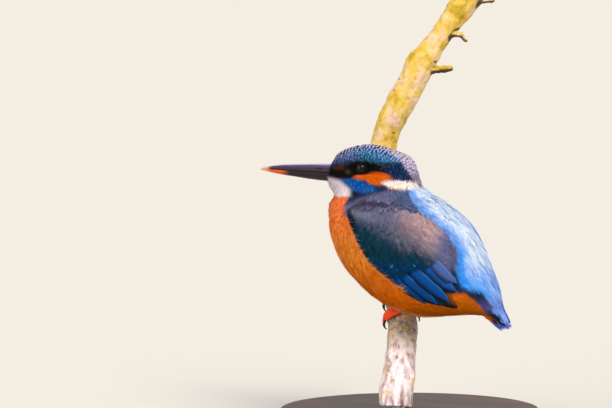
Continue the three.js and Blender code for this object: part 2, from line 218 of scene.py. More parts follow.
def node_copy(name: str, *nodes: str) -> bpy.types.Object:
    """Joins merged copies of CAD nodes into one new object.

    Args:
        name: The new object's name.
        nodes: The nodes to copy.

    Returns:
        The new object, whose faces are quads where they can be.
    """
    copies = []
    for node in nodes:
        source = frame["nodes"][node]
        copy = bpy.data.objects.new(name, source.data.copy())
        copy.matrix_world = source.matrix_world
        copy.data.materials.clear()
        bpy.context.scene.collection.objects.link(copy)
        copies.append(copy)
    select_only(*copies)
    if len(copies) > 1:
        bpy.ops.object.join()
    whole = bpy.context.view_layer.objects.active
    bpy.ops.object.mode_set(mode="EDIT")
    bpy.ops.mesh.select_all(action="SELECT")
    bpy.ops.mesh.remove_doubles(threshold=0.00001)
    bpy.ops.mesh.tris_convert_to_quads(face_threshold=math.radians(40.0), shape_threshold=math.radians(60.0))
    bpy.ops.object.mode_set(mode="OBJECT")
    return settle(whole, name)


def smooth_shade(obj: bpy.types.Object, degrees: float = 40.0) -> None:
    """Shades an object smooth, apart from edges sharper than this."""
    select_only(obj)
    bpy.ops.object.shade_smooth_by_angle(angle=math.radians(degrees))


def dress(obj: bpy.types.Object, finish: "Finish", slot: str, *nodes: str) -> None:
    """Gives a piece its material and body, and hides the nodes that it stands for.

    Args:
        obj: The piece.
        finish: The finish to build.
        slot: The record's material slot; not used.
        nodes: The CAD nodes that the piece replaces.
    """
    obj.data.materials.clear()
    obj.data.materials.append(finish.material())
    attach(obj, ROOT)
    if nodes:
        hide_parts(*nodes)
    LOG.info("%s: %d faces", obj.name, len(obj.data.polygons))


def positions(obj: bpy.types.Object) -> Array:
    """An object's vertices as rows of metres."""
    values = np.empty(len(obj.data.vertices) * 3, dtype=np.float64)
    obj.data.vertices.foreach_get("co", values)
    return values.reshape(-1, 3)


def move_vertices(obj: bpy.types.Object, points: Array) -> None:
    """Puts an object's vertices at these points in metres."""
    obj.data.vertices.foreach_set("co", np.asarray(points, dtype=np.float32).ravel())
    obj.data.update()


def vertex_normals(obj: bpy.types.Object) -> Array:
    """An object's vertex normals."""
    values = np.empty(len(obj.data.vertices) * 3, dtype=np.float32)
    obj.data.vertex_normals.foreach_get("vector", values)
    return values.reshape(-1, 3).astype(float)


def surface_tree(obj: bpy.types.Object) -> BVHTree:
    """A search tree over an object's faces, in the bird's frame in millimetres."""
    points = [Vector(p) for p in to_bird(positions(obj))]
    return BVHTree.FromPolygons(points, [list(face.vertices) for face in obj.data.polygons])


# ---------------------------------------------------------------- finishes


Socket = bpy.types.NodeSocket
BARB_SLANT = 0.9  # how far towards the tip the barbs run for each step out from the shaft


def rgba(code: str) -> tuple[float, float, float, float]:
    """A node socket's colour from a hex colour."""
    return (*linear(code), 1.0)


class Nodes:
    """A material's nodes, added by the work that they do."""

    def __init__(self, tree: bpy.types.NodeTree) -> None:
        """Takes the material's node tree."""
        self.tree = tree

    def feed(self, node: bpy.types.Node, inputs: dict) -> None:
        """Fills a node's inputs.

        Args:
            node: The node.
            inputs: Values or output sockets by input name or number.
        """
        for key, value in inputs.items():
            if isinstance(value, Socket):
                self.tree.links.new(value, node.inputs[key])
            else:
                node.inputs[key].default_value = value

    def shade(self, **inputs: object) -> None:
        """Fills inputs of the material's Principled shader, with underscores for their names' spaces."""
        named = {name.replace("_", " "): value for name, value in inputs.items()}
        self.feed(self.tree.nodes["Principled BSDF"], named)

    def add(self, kind: str, inputs: dict | None = None, **settings: object) -> bpy.types.Node:
        """Adds a node.

        Args:
            kind: Its type, without the ShaderNode in front.
            inputs: Values or output sockets by input name or number.
            settings: The node's own properties.

        Returns:
            The new node.
        """
        made = self.tree.nodes.new("ShaderNode" + kind)
        for name, value in settings.items():
            setattr(made, name, value)
        self.feed(made, inputs or {})
        return made

    def maths(self, operation: str, *values: object) -> Socket:
        """The result of a Math node on values or sockets."""
        return self.add("Math", dict(enumerate(values)), operation=operation).outputs[0]

    def times(self, a: object, b: object) -> Socket:
        """The product of two values or sockets."""
        return self.maths("MULTIPLY", a, b)

    def blend(self, share: object, a: Socket | str, b: Socket | str, way: str = "MIX") -> Socket:
        """Blends two colours.

        Args:
            share: How much of b, a number or a socket.
            a: First colour, a socket or a hex colour.
            b: Second colour, as a.
            way: The blend type.

        Returns:
            The colour.
        """
        first, second = (c if isinstance(c, Socket) else rgba(c) for c in (a, b))
        return self.add("Mix", {0: share, 6: first, 7: second}, data_type="RGBA", blend_type=way).outputs[2]

    def ramp(self, value: Socket, *stops: tuple[float, str]) -> Socket:
        """The colour of a Color Ramp.

        Args:
            value: The socket that drives it.
            stops: Places and hex colours.

        Returns:
            The colour.
        """
        made = self.add("ValToRGB", {0: value})
        elements = made.color_ramp.elements
        while len(elements) < len(stops):
            elements.new(0.5)
        for element, (place, code) in zip(elements, stops):
            element.position = place
            element.color = rgba(code)
        return made.outputs[0]

    def span(self, value: Socket, low: float, high: float, first: float = 0.0, last: float = 1.0) -> Socket:
        """A value that goes from first at low to last at high, and stays there beyond."""
        return self.add("MapRange", {0: value, 1: low, 2: high, 3: first, 4: last}).outputs[0]

    def place(self, scale: tuple[float, float, float] | None = None, turn: float = 0.0) -> Socket:
        """Where a point lies on the object.

        Args:
            scale: How much a pattern is squeezed along X, Y and Z, if at all.
            turn: How far it is turned about Z, in radians.

        Returns:
            The place, in metres.
        """
        where = self.add("TexCoord").outputs["Object"]
        if scale is None:
            return where
        return self.add("Mapping", {"Vector": where, "Rotation": (0.0, 0.0, turn), "Scale": scale}).outputs[0]

    def noise(self, where: Socket, scale: float, detail: float = 3.0, rough: float = 0.5) -> Socket:
        """The value of a Noise Texture at a place."""
        inputs = {"Vector": where, "Scale": scale, "Detail": detail, "Roughness": rough}
        return self.add("TexNoise", inputs).outputs[0]

    def bump(self, height: Socket, depth: float, strength: float = 1.0) -> Socket:
        """The normal of a Bump node, whose height 1 stands up by a depth in millimetres."""
        return self.add("Bump", {"Height": height, "Distance": depth * MM, "Strength": strength}).outputs[0]

    def stored(self, title: str, output: str = "Color") -> Socket:
        """What a piece's attribute holds."""
        return self.add("Attribute", attribute_name=title).outputs[output]


@dataclass(frozen=True)
class Finish:
    """A finish built from nodes: subclasses say how."""

    name: str
    roughness: float = 0.5
    specular: float = 0.5

    def material(self) -> bpy.types.Material:
        """Makes the finish's material once.

        Returns:
            The material.
        """
        title = f"{self.name}_finish"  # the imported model's own materials carry the record's slot names
        found = bpy.data.materials.get(title)
        if found:
            return found
        made = bpy.data.materials.new(title)
        made.use_nodes = True
        nodes = Nodes(made.node_tree)
        nodes.shade(Roughness=self.roughness, Specular_IOR_Level=self.specular)
        self.build(nodes)
        return made

    def build(self, nodes: Nodes) -> None:
        """Adds the finish's own nodes."""
        raise NotImplementedError


@dataclass(frozen=True)
class PlumageFinish(Finish):
    """Feathers, coloured by their own attribute, with barbs drawn from the vane's own map in millimetres."""

    sheen: float = 0.25
    sheen_tint: str = "ffffff"
    barb_pitch: float = 0.32
    barb_depth: float = 0.06

    def build(self, nodes: Nodes) -> None:
        """Adds the colour, the barbs' ridges and the sheen."""
        vane = nodes.add("SeparateXYZ", {0: nodes.add("UVMap", uv_map="Vane").outputs[0]})
        across = nodes.maths("ABSOLUTE", vane.outputs[0])
        slant = nodes.maths("SUBTRACT", vane.outputs[1], nodes.times(across, BARB_SLANT))
        wave = nodes.maths("SINE", nodes.times(slant, 2.0 * math.pi / self.barb_pitch))
        ridge = nodes.maths("MULTIPLY_ADD", wave, 0.5, 0.5)
        mottle = nodes.noise(nodes.place(), 900.0, 2.0)
        shade = nodes.maths("MULTIPLY_ADD", nodes.maths("ADD", nodes.times(ridge, 0.35), mottle), 0.42, 0.72)
        nodes.shade(
            Base_Color=nodes.blend(1.0, nodes.stored("plumage"), shade, "MULTIPLY"),
            Normal=nodes.bump(ridge, self.barb_depth, 0.6),
            Sheen_Weight=self.sheen, Sheen_Roughness=0.4, Sheen_Tint=rgba(self.sheen_tint),
        )  # fmt: skip


@dataclass(frozen=True)
class SkinFinish(Finish):
    """The skin under the feathers, with the same markings and a downy grain."""

    def build(self, nodes: Nodes) -> None:
        """Adds the colour and the grain."""
        grain = nodes.noise(nodes.place(), 1400.0, 3.0)
        colour = nodes.blend(nodes.times(grain, 0.5), nodes.stored("plumage"), "0c0a0c")
        nodes.shade(Base_Color=colour, Normal=nodes.bump(grain, 0.3))


@dataclass(frozen=True)
class EyeFinish(Finish):
    """A dark wet eye, whose iris shows only as a brown ring."""

    def build(self, nodes: Nodes) -> None:
        """Adds the iris from the sphere's own map, whose V runs from its back to its front."""
        pole = nodes.add("SeparateXYZ", {0: nodes.add("UVMap", uv_map="UVMap").outputs[0]}).outputs[1]
        grain = nodes.noise(nodes.place(), 2500.0)
        iris = nodes.ramp(
            pole, (0.0, "120a08"), (0.7, "170d09"), (0.8, "1c0f08"), (0.84, "050304"), (1.0, "030203")
        )
        colour = nodes.blend(nodes.times(grain, 0.25), iris, "050304")
        nodes.shade(
            Base_Color=colour, Normal=nodes.bump(grain, 0.01, 0.2), Coat_Weight=0.35, Coat_Roughness=0.02
        )


@dataclass(frozen=True)
class HornFinish(Finish):
    """Bill horn, coloured by its attribute, with fine lengthwise grain and wear."""

    def build(self, nodes: Nodes) -> None:
        """Adds the colour, grain and scuffs."""
        fibres = nodes.noise(nodes.place((0.15, 0.5, 1.0), -HEAD_TURN), 2600.0, 4.0, 0.6)
        scuffs = nodes.noise(nodes.place(), 700.0, 2.0)
        worn = nodes.blend(nodes.times(scuffs, 0.16), nodes.stored("plumage"), "54455c")
        nodes.shade(
            Base_Color=nodes.blend(nodes.times(fibres, 0.4), worn, "0d090d"),
            Roughness=nodes.span(scuffs, 0.0, 1.0, self.roughness - 0.08, self.roughness + 0.14),
            Normal=nodes.bump(fibres, 0.05, 0.5),
        )


@dataclass(frozen=True)
class ScaledSkinFinish(Finish):
    """Scaly bare skin on toes, shanks and lids."""

    colour: str = "ff3402"
    light: str = "ff6a14"
    shade: str = "d22802"
    scale_size: float = 0.7

    def build(self, nodes: Nodes) -> None:
        """Adds the scales' colour and relief."""
        place = nodes.place()
        density = 1.0 / (self.scale_size * MM)
        cells = nodes.add("TexVoronoi", {"Vector": place, "Scale": density}, feature="DISTANCE_TO_EDGE")
        scale = nodes.span(cells.outputs[0], 0.0, 0.12)
        skin = nodes.blend(nodes.noise(place, 350.0), self.colour, self.light)
        nodes.shade(
            Base_Color=nodes.blend(scale, self.shade, skin),
            Normal=nodes.bump(scale, 0.12, 0.8),
            Subsurface_Weight=0.15, Subsurface_Radius=(0.001, 0.0004, 0.0002),
        )  # fmt: skip


@dataclass(frozen=True)
class BarkFinish(Finish):
    """Bark that is yellow and cream with dark spots above, and pale with grey-brown streaks below."""

    change_height: float = 0.075
    change_run: float = 0.02
    moss_start: float = 0.042  # how far under the change moss starts, and how far under it is full
    moss_full: float = 0.028

    def build(self, nodes: Nodes) -> None:
        """Adds the two barks, their stains, painted shadow under the broken twigs, and the cracks."""
        place = nodes.place()
        height = nodes.add("SeparateXYZ", {0: place}).outputs[2]
        fine = nodes.noise(place, 420.0, 6.0, 0.65)
        streak = nodes.noise(nodes.place((1.0, 1.0, 0.22)), 330.0, 5.0, 0.62)
        patchy = nodes.noise(place, 95.0, 3.0, 0.6)
        edge = nodes.maths("ADD", height, nodes.times(nodes.noise(place, 75.0, 4.0, 0.6), 0.02))
        change = nodes.span(edge, self.change_height, self.change_height + self.change_run)
        bark = nodes.blend(
            change, self.lower(nodes, height, fine, streak, patchy), self.upper(nodes, place, patchy)
        )
        bark = nodes.blend(nodes.span(fine, 0.34, 0.48, 0.35, 0.0), bark, "5a4430")
        # painted shadow: darkens the bark on the broken twigs' undersides
        bark = nodes.blend(nodes.times(nodes.stored("char", "Fac"), 0.9), bark, "221820")
        relief = nodes.maths("ADD", nodes.times(streak, 0.7), nodes.times(fine, 0.5))
        nodes.shade(Base_Color=bark, Normal=nodes.bump(relief, 1.1, 0.8))

    def upper(self, nodes: Nodes, place: Socket, patchy: Socket) -> Socket:
        """The yellow bark's colour, with dark spots in some places.

        Args:
            nodes: The material's nodes.
            place: Where a point lies.
            patchy: The noise that patches follow.

        Returns:
            The colour.
        """
        yellow = nodes.ramp(
            patchy, (0.34, "b89a30"), (0.43, "d6b346"), (0.51, "dcbc76"), (0.59, "e2c49a"), (0.7, "dab09c")
        )
        dots = {"Vector": nodes.place((0.7, 0.7, 1.5)), "Scale": 200.0, "Randomness": 1.0}
        spot = nodes.span(nodes.add("TexVoronoi", dots).outputs[0], 0.12, 0.26, 1.0, 0.0)
        chosen = nodes.span(nodes.noise(place, 110.0, 1.0), 0.5, 0.6)
        return nodes.blend(nodes.times(spot, chosen), yellow, "5c3a4c")

    def lower(self, nodes: Nodes, height: Socket, fine: Socket, streak: Socket, patchy: Socket) -> Socket:
        """The pale bark's colour, with moss near the bird's feet and yellow stains.

        Args:
            nodes: The material's nodes.
            height: How high a point lies.
            fine: The noise that small marks follow.
            streak: The noise that streaks follow.
            patchy: The noise that patches follow.

        Returns:
            The colour.
        """
        pale = nodes.ramp(
            streak, (0.3, "5c4844"), (0.38, "a08886"), (0.45, "d2bcc2"), (0.53, "ece2ea"), (0.64, "fdfafc")
        )
        near = nodes.span(height, self.change_height - self.moss_start, self.change_height - self.moss_full)
        moss = nodes.times(near, nodes.span(streak, 0.36, 0.56, 0.0, 0.9))
        pale = nodes.blend(moss, pale, nodes.ramp(fine, (0.4, "463c30"), (0.5, "7c7040"), (0.6, "a08c58")))
        return nodes.blend(nodes.span(patchy, 0.55, 0.66, 0.0, 0.75), pale, "dcb458")


@dataclass(frozen=True)
class TurnedWoodFinish(Finish):
    """Dark oiled wood with straight grain along X."""

    def build(self, nodes: Nodes) -> None:
        """Adds the grain, pores and an oiled coat."""
        place = nodes.place((0.07, 1.0, 1.0))
        grain = nodes.noise(place, 190.0, 6.0, 0.6)
        pores = nodes.noise(place, 1500.0, 3.0, 0.7)
        wood = nodes.ramp(grain, (0.3, "24130b"), (0.48, "3d2214"), (0.6, "5a3520"), (0.75, "71462b"))
        colour = nodes.blend(nodes.span(pores, 0.35, 0.5, 0.6, 0.0), wood, "160c07")
        nodes.shade(
            Base_Color=colour, Normal=nodes.bump(pores, 0.08, 0.4), Coat_Weight=0.25, Coat_Roughness=0.25
        )


@dataclass(frozen=True)
class SteelFinish(Finish):
    """Brushed steel."""

    def build(self, nodes: Nodes) -> None:
        """Adds the metal and its brushing."""
        lines = nodes.noise(nodes.place((1.0, 1.0, 0.05)), 4000.0)
        colour = nodes.ramp(lines, (0.3, "77777c"), (0.7, "a6a6aa"))
        nodes.shade(Base_Color=colour, Normal=nodes.bump(lines, 0.02, 0.4), Metallic=1.0)


@dataclass(frozen=True)
class FloorFinish(Finish):
    """A plain pale floor."""

    colour: str = "c6c5c2"

    def build(self, nodes: Nodes) -> None:
        """Sets the colour."""
        nodes.shade(Base_Color=rgba(self.colour))


PLUMAGE = PlumageFinish("plumage", roughness=0.75, specular=0.05, sheen=0.02)
WARM_PLUMAGE = PlumageFinish("plumage_warm", roughness=0.8, specular=0.04, sheen=0.0)
GLOSSY_PLUMAGE = PlumageFinish("plumage_glossy", roughness=0.5, specular=0.25, sheen=0.1, sheen_tint="9fd0ff")
FLIGHT_PLUMAGE = PlumageFinish("plumage_flight", roughness=0.55, specular=0.06, sheen=0.0, barb_pitch=0.45)
SKIN = SkinFinish("skin_under_feathers", roughness=0.8, specular=0.2)
EYE = EyeFinish("eye_dark", roughness=0.1, specular=0.05)
HORN = HornFinish("bill_horn", roughness=0.3, specular=0.3)
TOE = ScaledSkinFinish("toe_scales", roughness=0.45, specular=0.3)
LID = ScaledSkinFinish(
    "lid_skin", roughness=0.85, specular=0.08, colour="140e0e", light="1c1310", shade="070505", scale_size=0.3
)
CLAW = HornFinish("claw_horn", roughness=0.35, specular=0.25)
BARK = BarkFinish("bark", roughness=0.82, specular=0.25)
WOOD = TurnedWoodFinish("base_wood", roughness=0.42)
STEEL = SteelFinish("rod_steel", roughness=0.32)
FLOOR = FloorFinish("floor_pale", roughness=0.9, specular=0.1)


# ---------------------------------------------------------------- markings


@dataclass(frozen=True)
class Place:
    """Where feathers or skin sit: straight-bird points in millimetres, stations and angles from the spine."""

    point: Array
    station: Array
    spine: Array


def height_on(line: tuple[tuple[float, float], ...], x: Array) -> Array:
    """The height at x of a line through points."""
    return np.interp(x, *zip(*line))


@dataclass(frozen=True)
class Oval:
    """A soft-edged oval seen from the bird's side: centre, half-lengths, tilt in degrees and softness."""

    x: float
    z: float
    half_x: float
    half_z: float
    tilt: float = 0.0
    soft: float = 0.35

    def cover(self, point: Array) -> Array:
        """How much the oval covers each point, from 0 to 1."""
        c, s = math.cos(math.radians(self.tilt)), math.sin(math.radians(self.tilt))
        dx, dz = point[:, 0] - self.x, point[:, 2] - self.z
        reach = np.hypot((dx * c + dz * s) / self.half_x, (dz * c - dx * s) / self.half_z)
        return 1.0 - smooth(reach, 1.0 - self.soft, 1.0 + self.soft)


@dataclass(frozen=True)
class Markings:
    """The plumage's pattern, worked out from where a point lies on the straight bird."""

    strip_edge: tuple = (
        (9.0, 26), (10.5, 30), (11.5, 37), (13, 41), (14.2, 41), (15.2, 34), (16.2, 30), (17.2, 29),
        (18.2, 38), (19.2, 43), (19.8, 44), (20.2, 39), (20.6, 29), (21.2, 26), (22.6, 29), (24, 62)
    )
    wing_edge: tuple = (
        (9.0, 118), (10.5, 124), (11.5, 124), (13, 113), (14, 108), (15, 105), (17, 102), (18, 98),
        (19.4, 94), (20.0, 60), (20.4, 46), (21.4, 44), (22.0, 47), (22.5, 52), (23.2, 62), (24, 90)
    )
    collar: tuple = (
        (-30.0, 60.0), (-24.0, 60.3), (-17.0, 62.2), (-12.0, 62.8), (-7.0, 63.6), (0.0, 63.9), (8.0, 64.0)
    )
    ear: Oval = Oval(-11.6, 69.1, 6.4, 3.1, -3, 0.2)
    ear_front: Oval = Oval(-18.6, 69.8, 4.6, 1.3, 4)
    neck_white: Oval = Oval(0.6, 65.8, 10.2, 1.9, -8, 0.15)
    neck_buff: Oval = Oval(1.6, 64.2, 8.2, 1.0, -7)
    neck_line: Oval = Oval(-4.0, 68.6, 6.6, 0.6, -9, 0.6)
    malar: Oval = Oval(-20.2, 65.3, 8.8, 2.9, -20)
    lore_brown: Oval = Oval(-30.4, 73.9, 3.6, 1.2, 10, 0.6)
    lore_spot: Oval = Oval(-25.9, 72.3, 1.1, 1.1, 0, 0.9)
    lore_dark: Oval = Oval(-27.5, 71.4, 9.5, 2.6, 0)
    eye_dark: Oval = Oval(-17.8, 74.0, 10.4, 3.3, -7, 0.4)
    dome_top: tuple = (
        (-18.0, 55.5), (-6.0, 56.6), (2.0, 57.4), (8.4, 57.0), (13.9, 55.4), (22.7, 51.0), (30.2, 44.0),
        (35.3, 36.5), (38.0, 28.0)
    )
    hollow: Oval = Oval(-15.0, 49.2, 6.0, 2.4, -58, 0.5)  # the shadow under the breast's tuft
    far_strip: float = 4.0  # how far the back's bright strip laps over the right wing

    def wing(self, place: Place) -> Array:
        """How far below the folded wing's front edge a place lies, in degrees round the body."""
        return place.spine - height_on(self.wing_edge, place.station)

    def strip(self, place: Place) -> Array:
        """How far outside the back's bright strip a place lies, in degrees round the body."""
        return place.spine - height_on(self.strip_edge, place.station)

    def body(self, place: Place, luck: Array) -> Array:
        """Colours behind the head.

        Args:
            place: Where.
            luck: A random number from 0 to 1 for each row, shared by a feather's points.

        Returns:
            Linear colours.
        """
        station, spine = place.station, place.spine
        belly = mix("ee763a", "fa822c", smooth(station, 10.5, 13.0))
        belly = mix(belly, "f08e1c", smooth(station, 13.0, 16.0))
        belly = mix(belly, "e27202", smooth(station, 16.0, 18.5))
        belly = mix(belly, "bc6000", smooth(station, 20.0, 21.5))
        belly = mix(
            belly, "f8cc98",
            0.85 * smooth(station, 19.6, 20.6) * smooth(station, 23.4, 22.6) * smooth(spine, 128.0, 160.0)
        )
        belly = mix(belly, "ffc088", 0.7 * smooth(luck, 0.6, 1.0) * smooth(station, 20.5, 15.0))
        belly = mix(belly, "a04000", 0.7 * smooth(luck, 0.4, 0.0))
        fluff = mix("565c84", "747298", luck)
        fluff = mix(fluff, "20304a", smooth(station, 10.6, 9.4))
        mantle = mix("3a5280", "6a7296", smooth(luck, 0.2, 0.9))
        mantle = mix(mantle, "5c5078", smooth(station, 14.4, 16.0))
        mantle = mix(mantle, mix("0a2448", "183c6c", luck), smooth(station, 17.6, 18.8))
        side = mix(mantle, fluff, smooth(self.strip(place), 14.0, 34.0) * smooth(station, 15.0, 12.5))
        azure = mix("4590f2", "90c4ff", luck)
        deep = smooth(station, 15.8, 17.8) * smooth(station, 22.6, 20.6) * smooth(spine, 6.0, 22.0)
        azure = mix(azure, mix("0a80f2", "3ea8fc", luck), deep)
        # painted highlight: the strip turns pale lilac-white towards the spine, where the sky's reflection
        # lies, less so towards the rump
        pale = mix("acd6ff", "eef2ff", smooth(luck, 0.1, 0.85))
        edge = self.strip(place)
        bright = mix(azure, pale, smooth(edge, -4.0, -17.0) * (1.0 - 0.85 * smooth(station, 17.2, 20.0)))
        tail_coverts = mix("3a6cd0", "8ca8ee", luck)
        bright = mix(bright, tail_coverts, smooth(station, 20.8, 22.6))
        upper = mix(side, bright, 1.0 - smooth(edge, -2.5, 2.5))
        # painted shadow: dark navy, purpler towards the tail, along the strip's edge behind the wing, below
        # the rump
        flank_shadow = smooth(station, 19.8, 20.4) * smooth(station, 24.0, 23.0)
        gap = mix("0c1c3a", "4c4c88", smooth(station, 21.0, 22.4))
        upper = mix(upper, gap, 0.9 * flank_shadow * smooth(edge, -3.0, 2.0))
        return mix(upper, belly, smooth(self.wing(place), -3.0, 3.0))

    def head(self, place: Place, luck: Array, along: Array) -> Array:
        """Colours of the head, with the crown's bars across each feather's tip.

        Args:
            place: Where.
            luck: A random number from 0 to 1 for each row, shared by a feather's points.
            along: How far along its feather each row lies, from 0 at the root to 1 at the tip.

        Returns:
            Linear colours.
        """
        point, spine = place.point, place.spine
        x, z = point[:, 0], point[:, 2]
        ridge = smooth(spine, 36.0, 12.0)
        rear = smooth(x - (-1.0 - 7.0 * ridge), -2.5, 2.5)
        low = smooth(spine, 38.0, 54.0)
        ground = mix("1c1a48", "062a54", smooth(x, -31.0, -20.0))
        ground = mix(ground, "051a34", 0.7 * low)
        # painted sheen: mauve on the crown's top, and mauve-grey on the nape where the head curves away
        ground = mix(ground, "4c4674", 0.8 * ridge)
        ground = mix(ground, mix("837a9c", "9c90b0", luck), rear)
        bar = mix("acaee8", "5a92d0", smooth(x, -31.0, -19.0))
        bar = mix(bar, mix("6476b8", "106c92", smooth(x, -28.0, -17.0)), low)
        # painted sheen on the bars, as on their ground above
        bar = mix(bar, "bab2da", ridge)
        bar = mix(bar, "b6aac6", rear)
        barred = smooth(along, 0.66, 0.73) * (1.0 - smooth(along, 0.85, 0.92))
        cap_edge = 75.2 + 1.2 * smooth(x, -16.0, -10.0)
        cap = smooth(z, cap_edge - 0.6, cap_edge + 0.8)
        dark_side = mix("04142c", "073260", luck)
        crown = mix(ground, bar, barred)
        cheek = mix("10182c", "173e70", luck)
        face = mix(cheek, dark_side, smooth(z, 68.0, 71.5))
        face = mix(face, crown, cap)
        nape_edge = 0.4 + 0.65 * (74.8 - z)
        face = mix(face, crown, smooth(x - nape_edge, -1.2, 1.2))
        throat = mix("efe8f2", "decedc", luck)
        chin = smooth(spine, 104.0, 118.0) * smooth(x, -21.5, -25.0)
        face = mix(face, throat, chin)
        face = mix(face, "1c1638", smooth(z, 64.2, 62.8) * smooth(x, -27.0, -22.0) * smooth(x, 0.0, -6.0))
        blue_spot = mix("06489c", "3f9ce4", smooth(along, 0.6, 0.9) * smooth(luck, 0.45, 0.8))
        face = mix(face, blue_spot, self.malar.cover(point))
        face = mix(face, "150d0c", self.lore_dark.cover(point))
        face = mix(face, "6a3414", 0.6 * self.lore_brown.cover(point) * smooth(point[:, 1] ** 2, 12.0, 26.0))
        face = mix(face, "645c40", 0.55 * self.lore_spot.cover(point))
        face = mix(face, "07080c", self.eye_dark.cover(point) * smooth(np.abs(point[:, 1]), 5.0, 8.0))
        orange = mix("c04c02", "da6a0c", luck)
        lateral = smooth(np.abs(point[:, 1]), 4.0, 7.0)
        face = mix(face, "4c3272", 0.8 * self.neck_line.cover(point) * lateral)
        face = mix(
            face, mix(orange, "b0440e", smooth(z, 70.6, 71.8)),
            np.maximum(self.ear.cover(point), self.ear_front.cover(point)) * lateral
        )
        white = mix("f7efec", "e6dcdc", luck)
        face = mix(face, "d98a68", self.neck_buff.cover(point) * lateral * 0.8)
        return mix(face, white, self.neck_white.cover(point) * smooth(np.abs(point[:, 1]), 2.5, 5.0))

    def colour(self, place: Place, luck: Array, along: Array) -> Array:
        """Colours anywhere on the head and body.

        Args:
            place: Where.
            luck: A random number from 0 to 1 for each row, shared by a feather's points.
            along: How far along its feather each row lies.

        Returns:
            Linear colours.
        """
        below = height_on(self.collar, place.point[:, 0]) - place.point[:, 2]
        behind = smooth(below, -0.6, 0.6)
        colours = mix(self.head(place, luck, along), self.body(place, luck), behind)
        white = mix("f7efec", "e6dcdc", luck)
        on_neck = self.neck_white.cover(place.point) * smooth(np.abs(place.point[:, 1]), 2.5, 5.0)
        return mix(colours, white, on_neck * behind)

    def wing_dome(self, side: Side, x: Array, z: Array, luck: Array, along: Array, dotted: Array) -> Array:
        """Colours of the scapulars and coverts, from their place as seen from the bird's side.

        Args:
            side: Which wing.
            x: Places along the bird.
            z: Heights.
            luck: A random number for each row.
            along: How far along its feather each row lies.
            dotted: Whether the row's feather has a bright dot at its tip.

        Returns:
            Linear colours.
        """
        down = height_on(self.dome_top, x) - z
        border = 45.0 - 0.38 * x + 9.0 * (luck - 0.5)
        teal = mix("02222e", "083e54", luck)
        teal = mix(teal, "02345e", smooth(z, 34.0, 28.0))
        # painted sheen: above the teal the dome is mauve, turning lilac and, further back, warm rose towards
        # its top edge, with pale grey fringes along the border; this is the sky's reflection on the dark
        # feathers
        mauve_sheen = mix("3e4468", "505474", luck)
        lilac = mix(mauve_sheen, "6e7096", smooth(down, 11.0, 2.0))
        warm = mix("5e5870", "ae929a", smooth(down, 14.0, 1.0))
        upper = mix(lilac, warm, smooth(x, 2.0, 20.0) * smooth(x, 34.0, 27.0))
        ground = mix(teal, upper, smooth(z - border, -3.0, 3.0))
        fringe = smooth(z - border, -3.0, 0.0) * smooth(z - border, 5.0, 2.0) * smooth(luck, 0.45, 0.9)
        ground = mix(ground, "8f9aa6", 0.55 * fringe)
        ground = mix(ground, mix("4c5688", "6a6a96", luck), smooth(x, 29.0, 34.0) * 0.8)
        # a darker band along the dome's top edge in front: partly the cape fluff's own colour, partly painted
        # shade where the fluff overhangs the dome
        cape = mix("383a5a", "504a66", luck)
        ground = mix(ground, cape, smooth(down, 2.5, 0.5) * smooth(x, 10.0, 2.0))
        point = np.stack([x, np.zeros_like(x), z], axis=-1)
        ground = mix(ground, "0a141e", 0.95 * self.hollow.cover(point))
        if side is Side.RIGHT:
            ground = mix(
                ground, "7fa8f4",
                smooth(down, self.far_strip + 1.5, self.far_strip - 1.5) * smooth(x, -4.0, 6.0)
            )
        dot = dotted * smooth(along, 0.8, 0.86) * (1.0 - smooth(along, 0.93, 0.98))
        return mix(ground, "3aa8bc", 0.8 * dot)


MARKINGS = Markings()


# ---------------------------------------------------------------- surfaces that feathers lie on


@dataclass
class SurfaceMap:
    """A grid of a surface's points, read by two coordinates, over which feathers are laid.

    The first coordinate picks the grid's row and the second its column. Points are in the bird's frame.
    """

    low: tuple[float, float]
    high: tuple[float, float]
    points: Array
    normals: Array
    wraps: bool = False

    def read(self, grid: Array, place: Array) -> Array:
        """Reads a grid between its points.

        Args:
            grid: Values by row and column.
            place: Coordinate pairs.

        Returns:
            The values there.
        """
        rows, columns = grid.shape[:2]
        row = np.clip((place[..., 0] - self.low[0]) / (self.high[0] - self.low[0]), 0.0, 1.0) * (rows - 1)
        column = (place[..., 1] - self.low[1]) / (self.high[1] - self.low[1])
        column = np.mod(column, 1.0) * columns if self.wraps else np.clip(column, 0.0, 1.0) * (columns - 1)
        row0 = np.minimum(row.astype(int), rows - 2)
        column0 = column.astype(int) if self.wraps else np.minimum(column.astype(int), columns - 2)
        column0 = np.mod(column0, columns)
        column1 = np.mod(column0 + 1, columns)
        down, over = row - row0, column - np.floor(column) if self.wraps else column - column0
        if grid.ndim == 3:
            down, over = down[..., None], over[..., None]
        first = grid[row0, column0] * (1 - over) + grid[row0, column1] * over
        second = grid[row0 + 1, column0] * (1 - over) + grid[row0 + 1, column1] * over
        return first * (1 - down) + second * down

    def surface(self, place: Array) -> tuple[Array, Array]:
        """The surface's points and normals at some places."""
        return self.read(self.points, place), unit(self.read(self.normals, place))

    def advance(self, place: Array, swing: Array, distance: Array) -> Array:
        """Moves places down the lie of the feathers: subclasses say how."""
        raise NotImplementedError

    def lay(self, roots: Array, swing: Array, length: Array, shares: Array) -> tuple[Array, Array, Array]:
        """Lays feathers' middle lines over the surface.

        Args:
            roots: Where each feather starts.
            swing: How far each is turned from the lie of the coat, in radians.
            length: How long each is.
            shares: Where its sections stand, from 0 at the root to 1 at the tip.

        Returns:
            Points, normals and places, by feather and section.
        """
        places = [roots]
        for step in np.diff(shares):
            half = self.advance(places[-1], swing, 0.5 * step * length)
            places.append(self.advance(half, swing, 0.5 * step * length))
        places = np.stack(places, axis=1)
        points, normals = self.surface(places)
        return points, normals, places


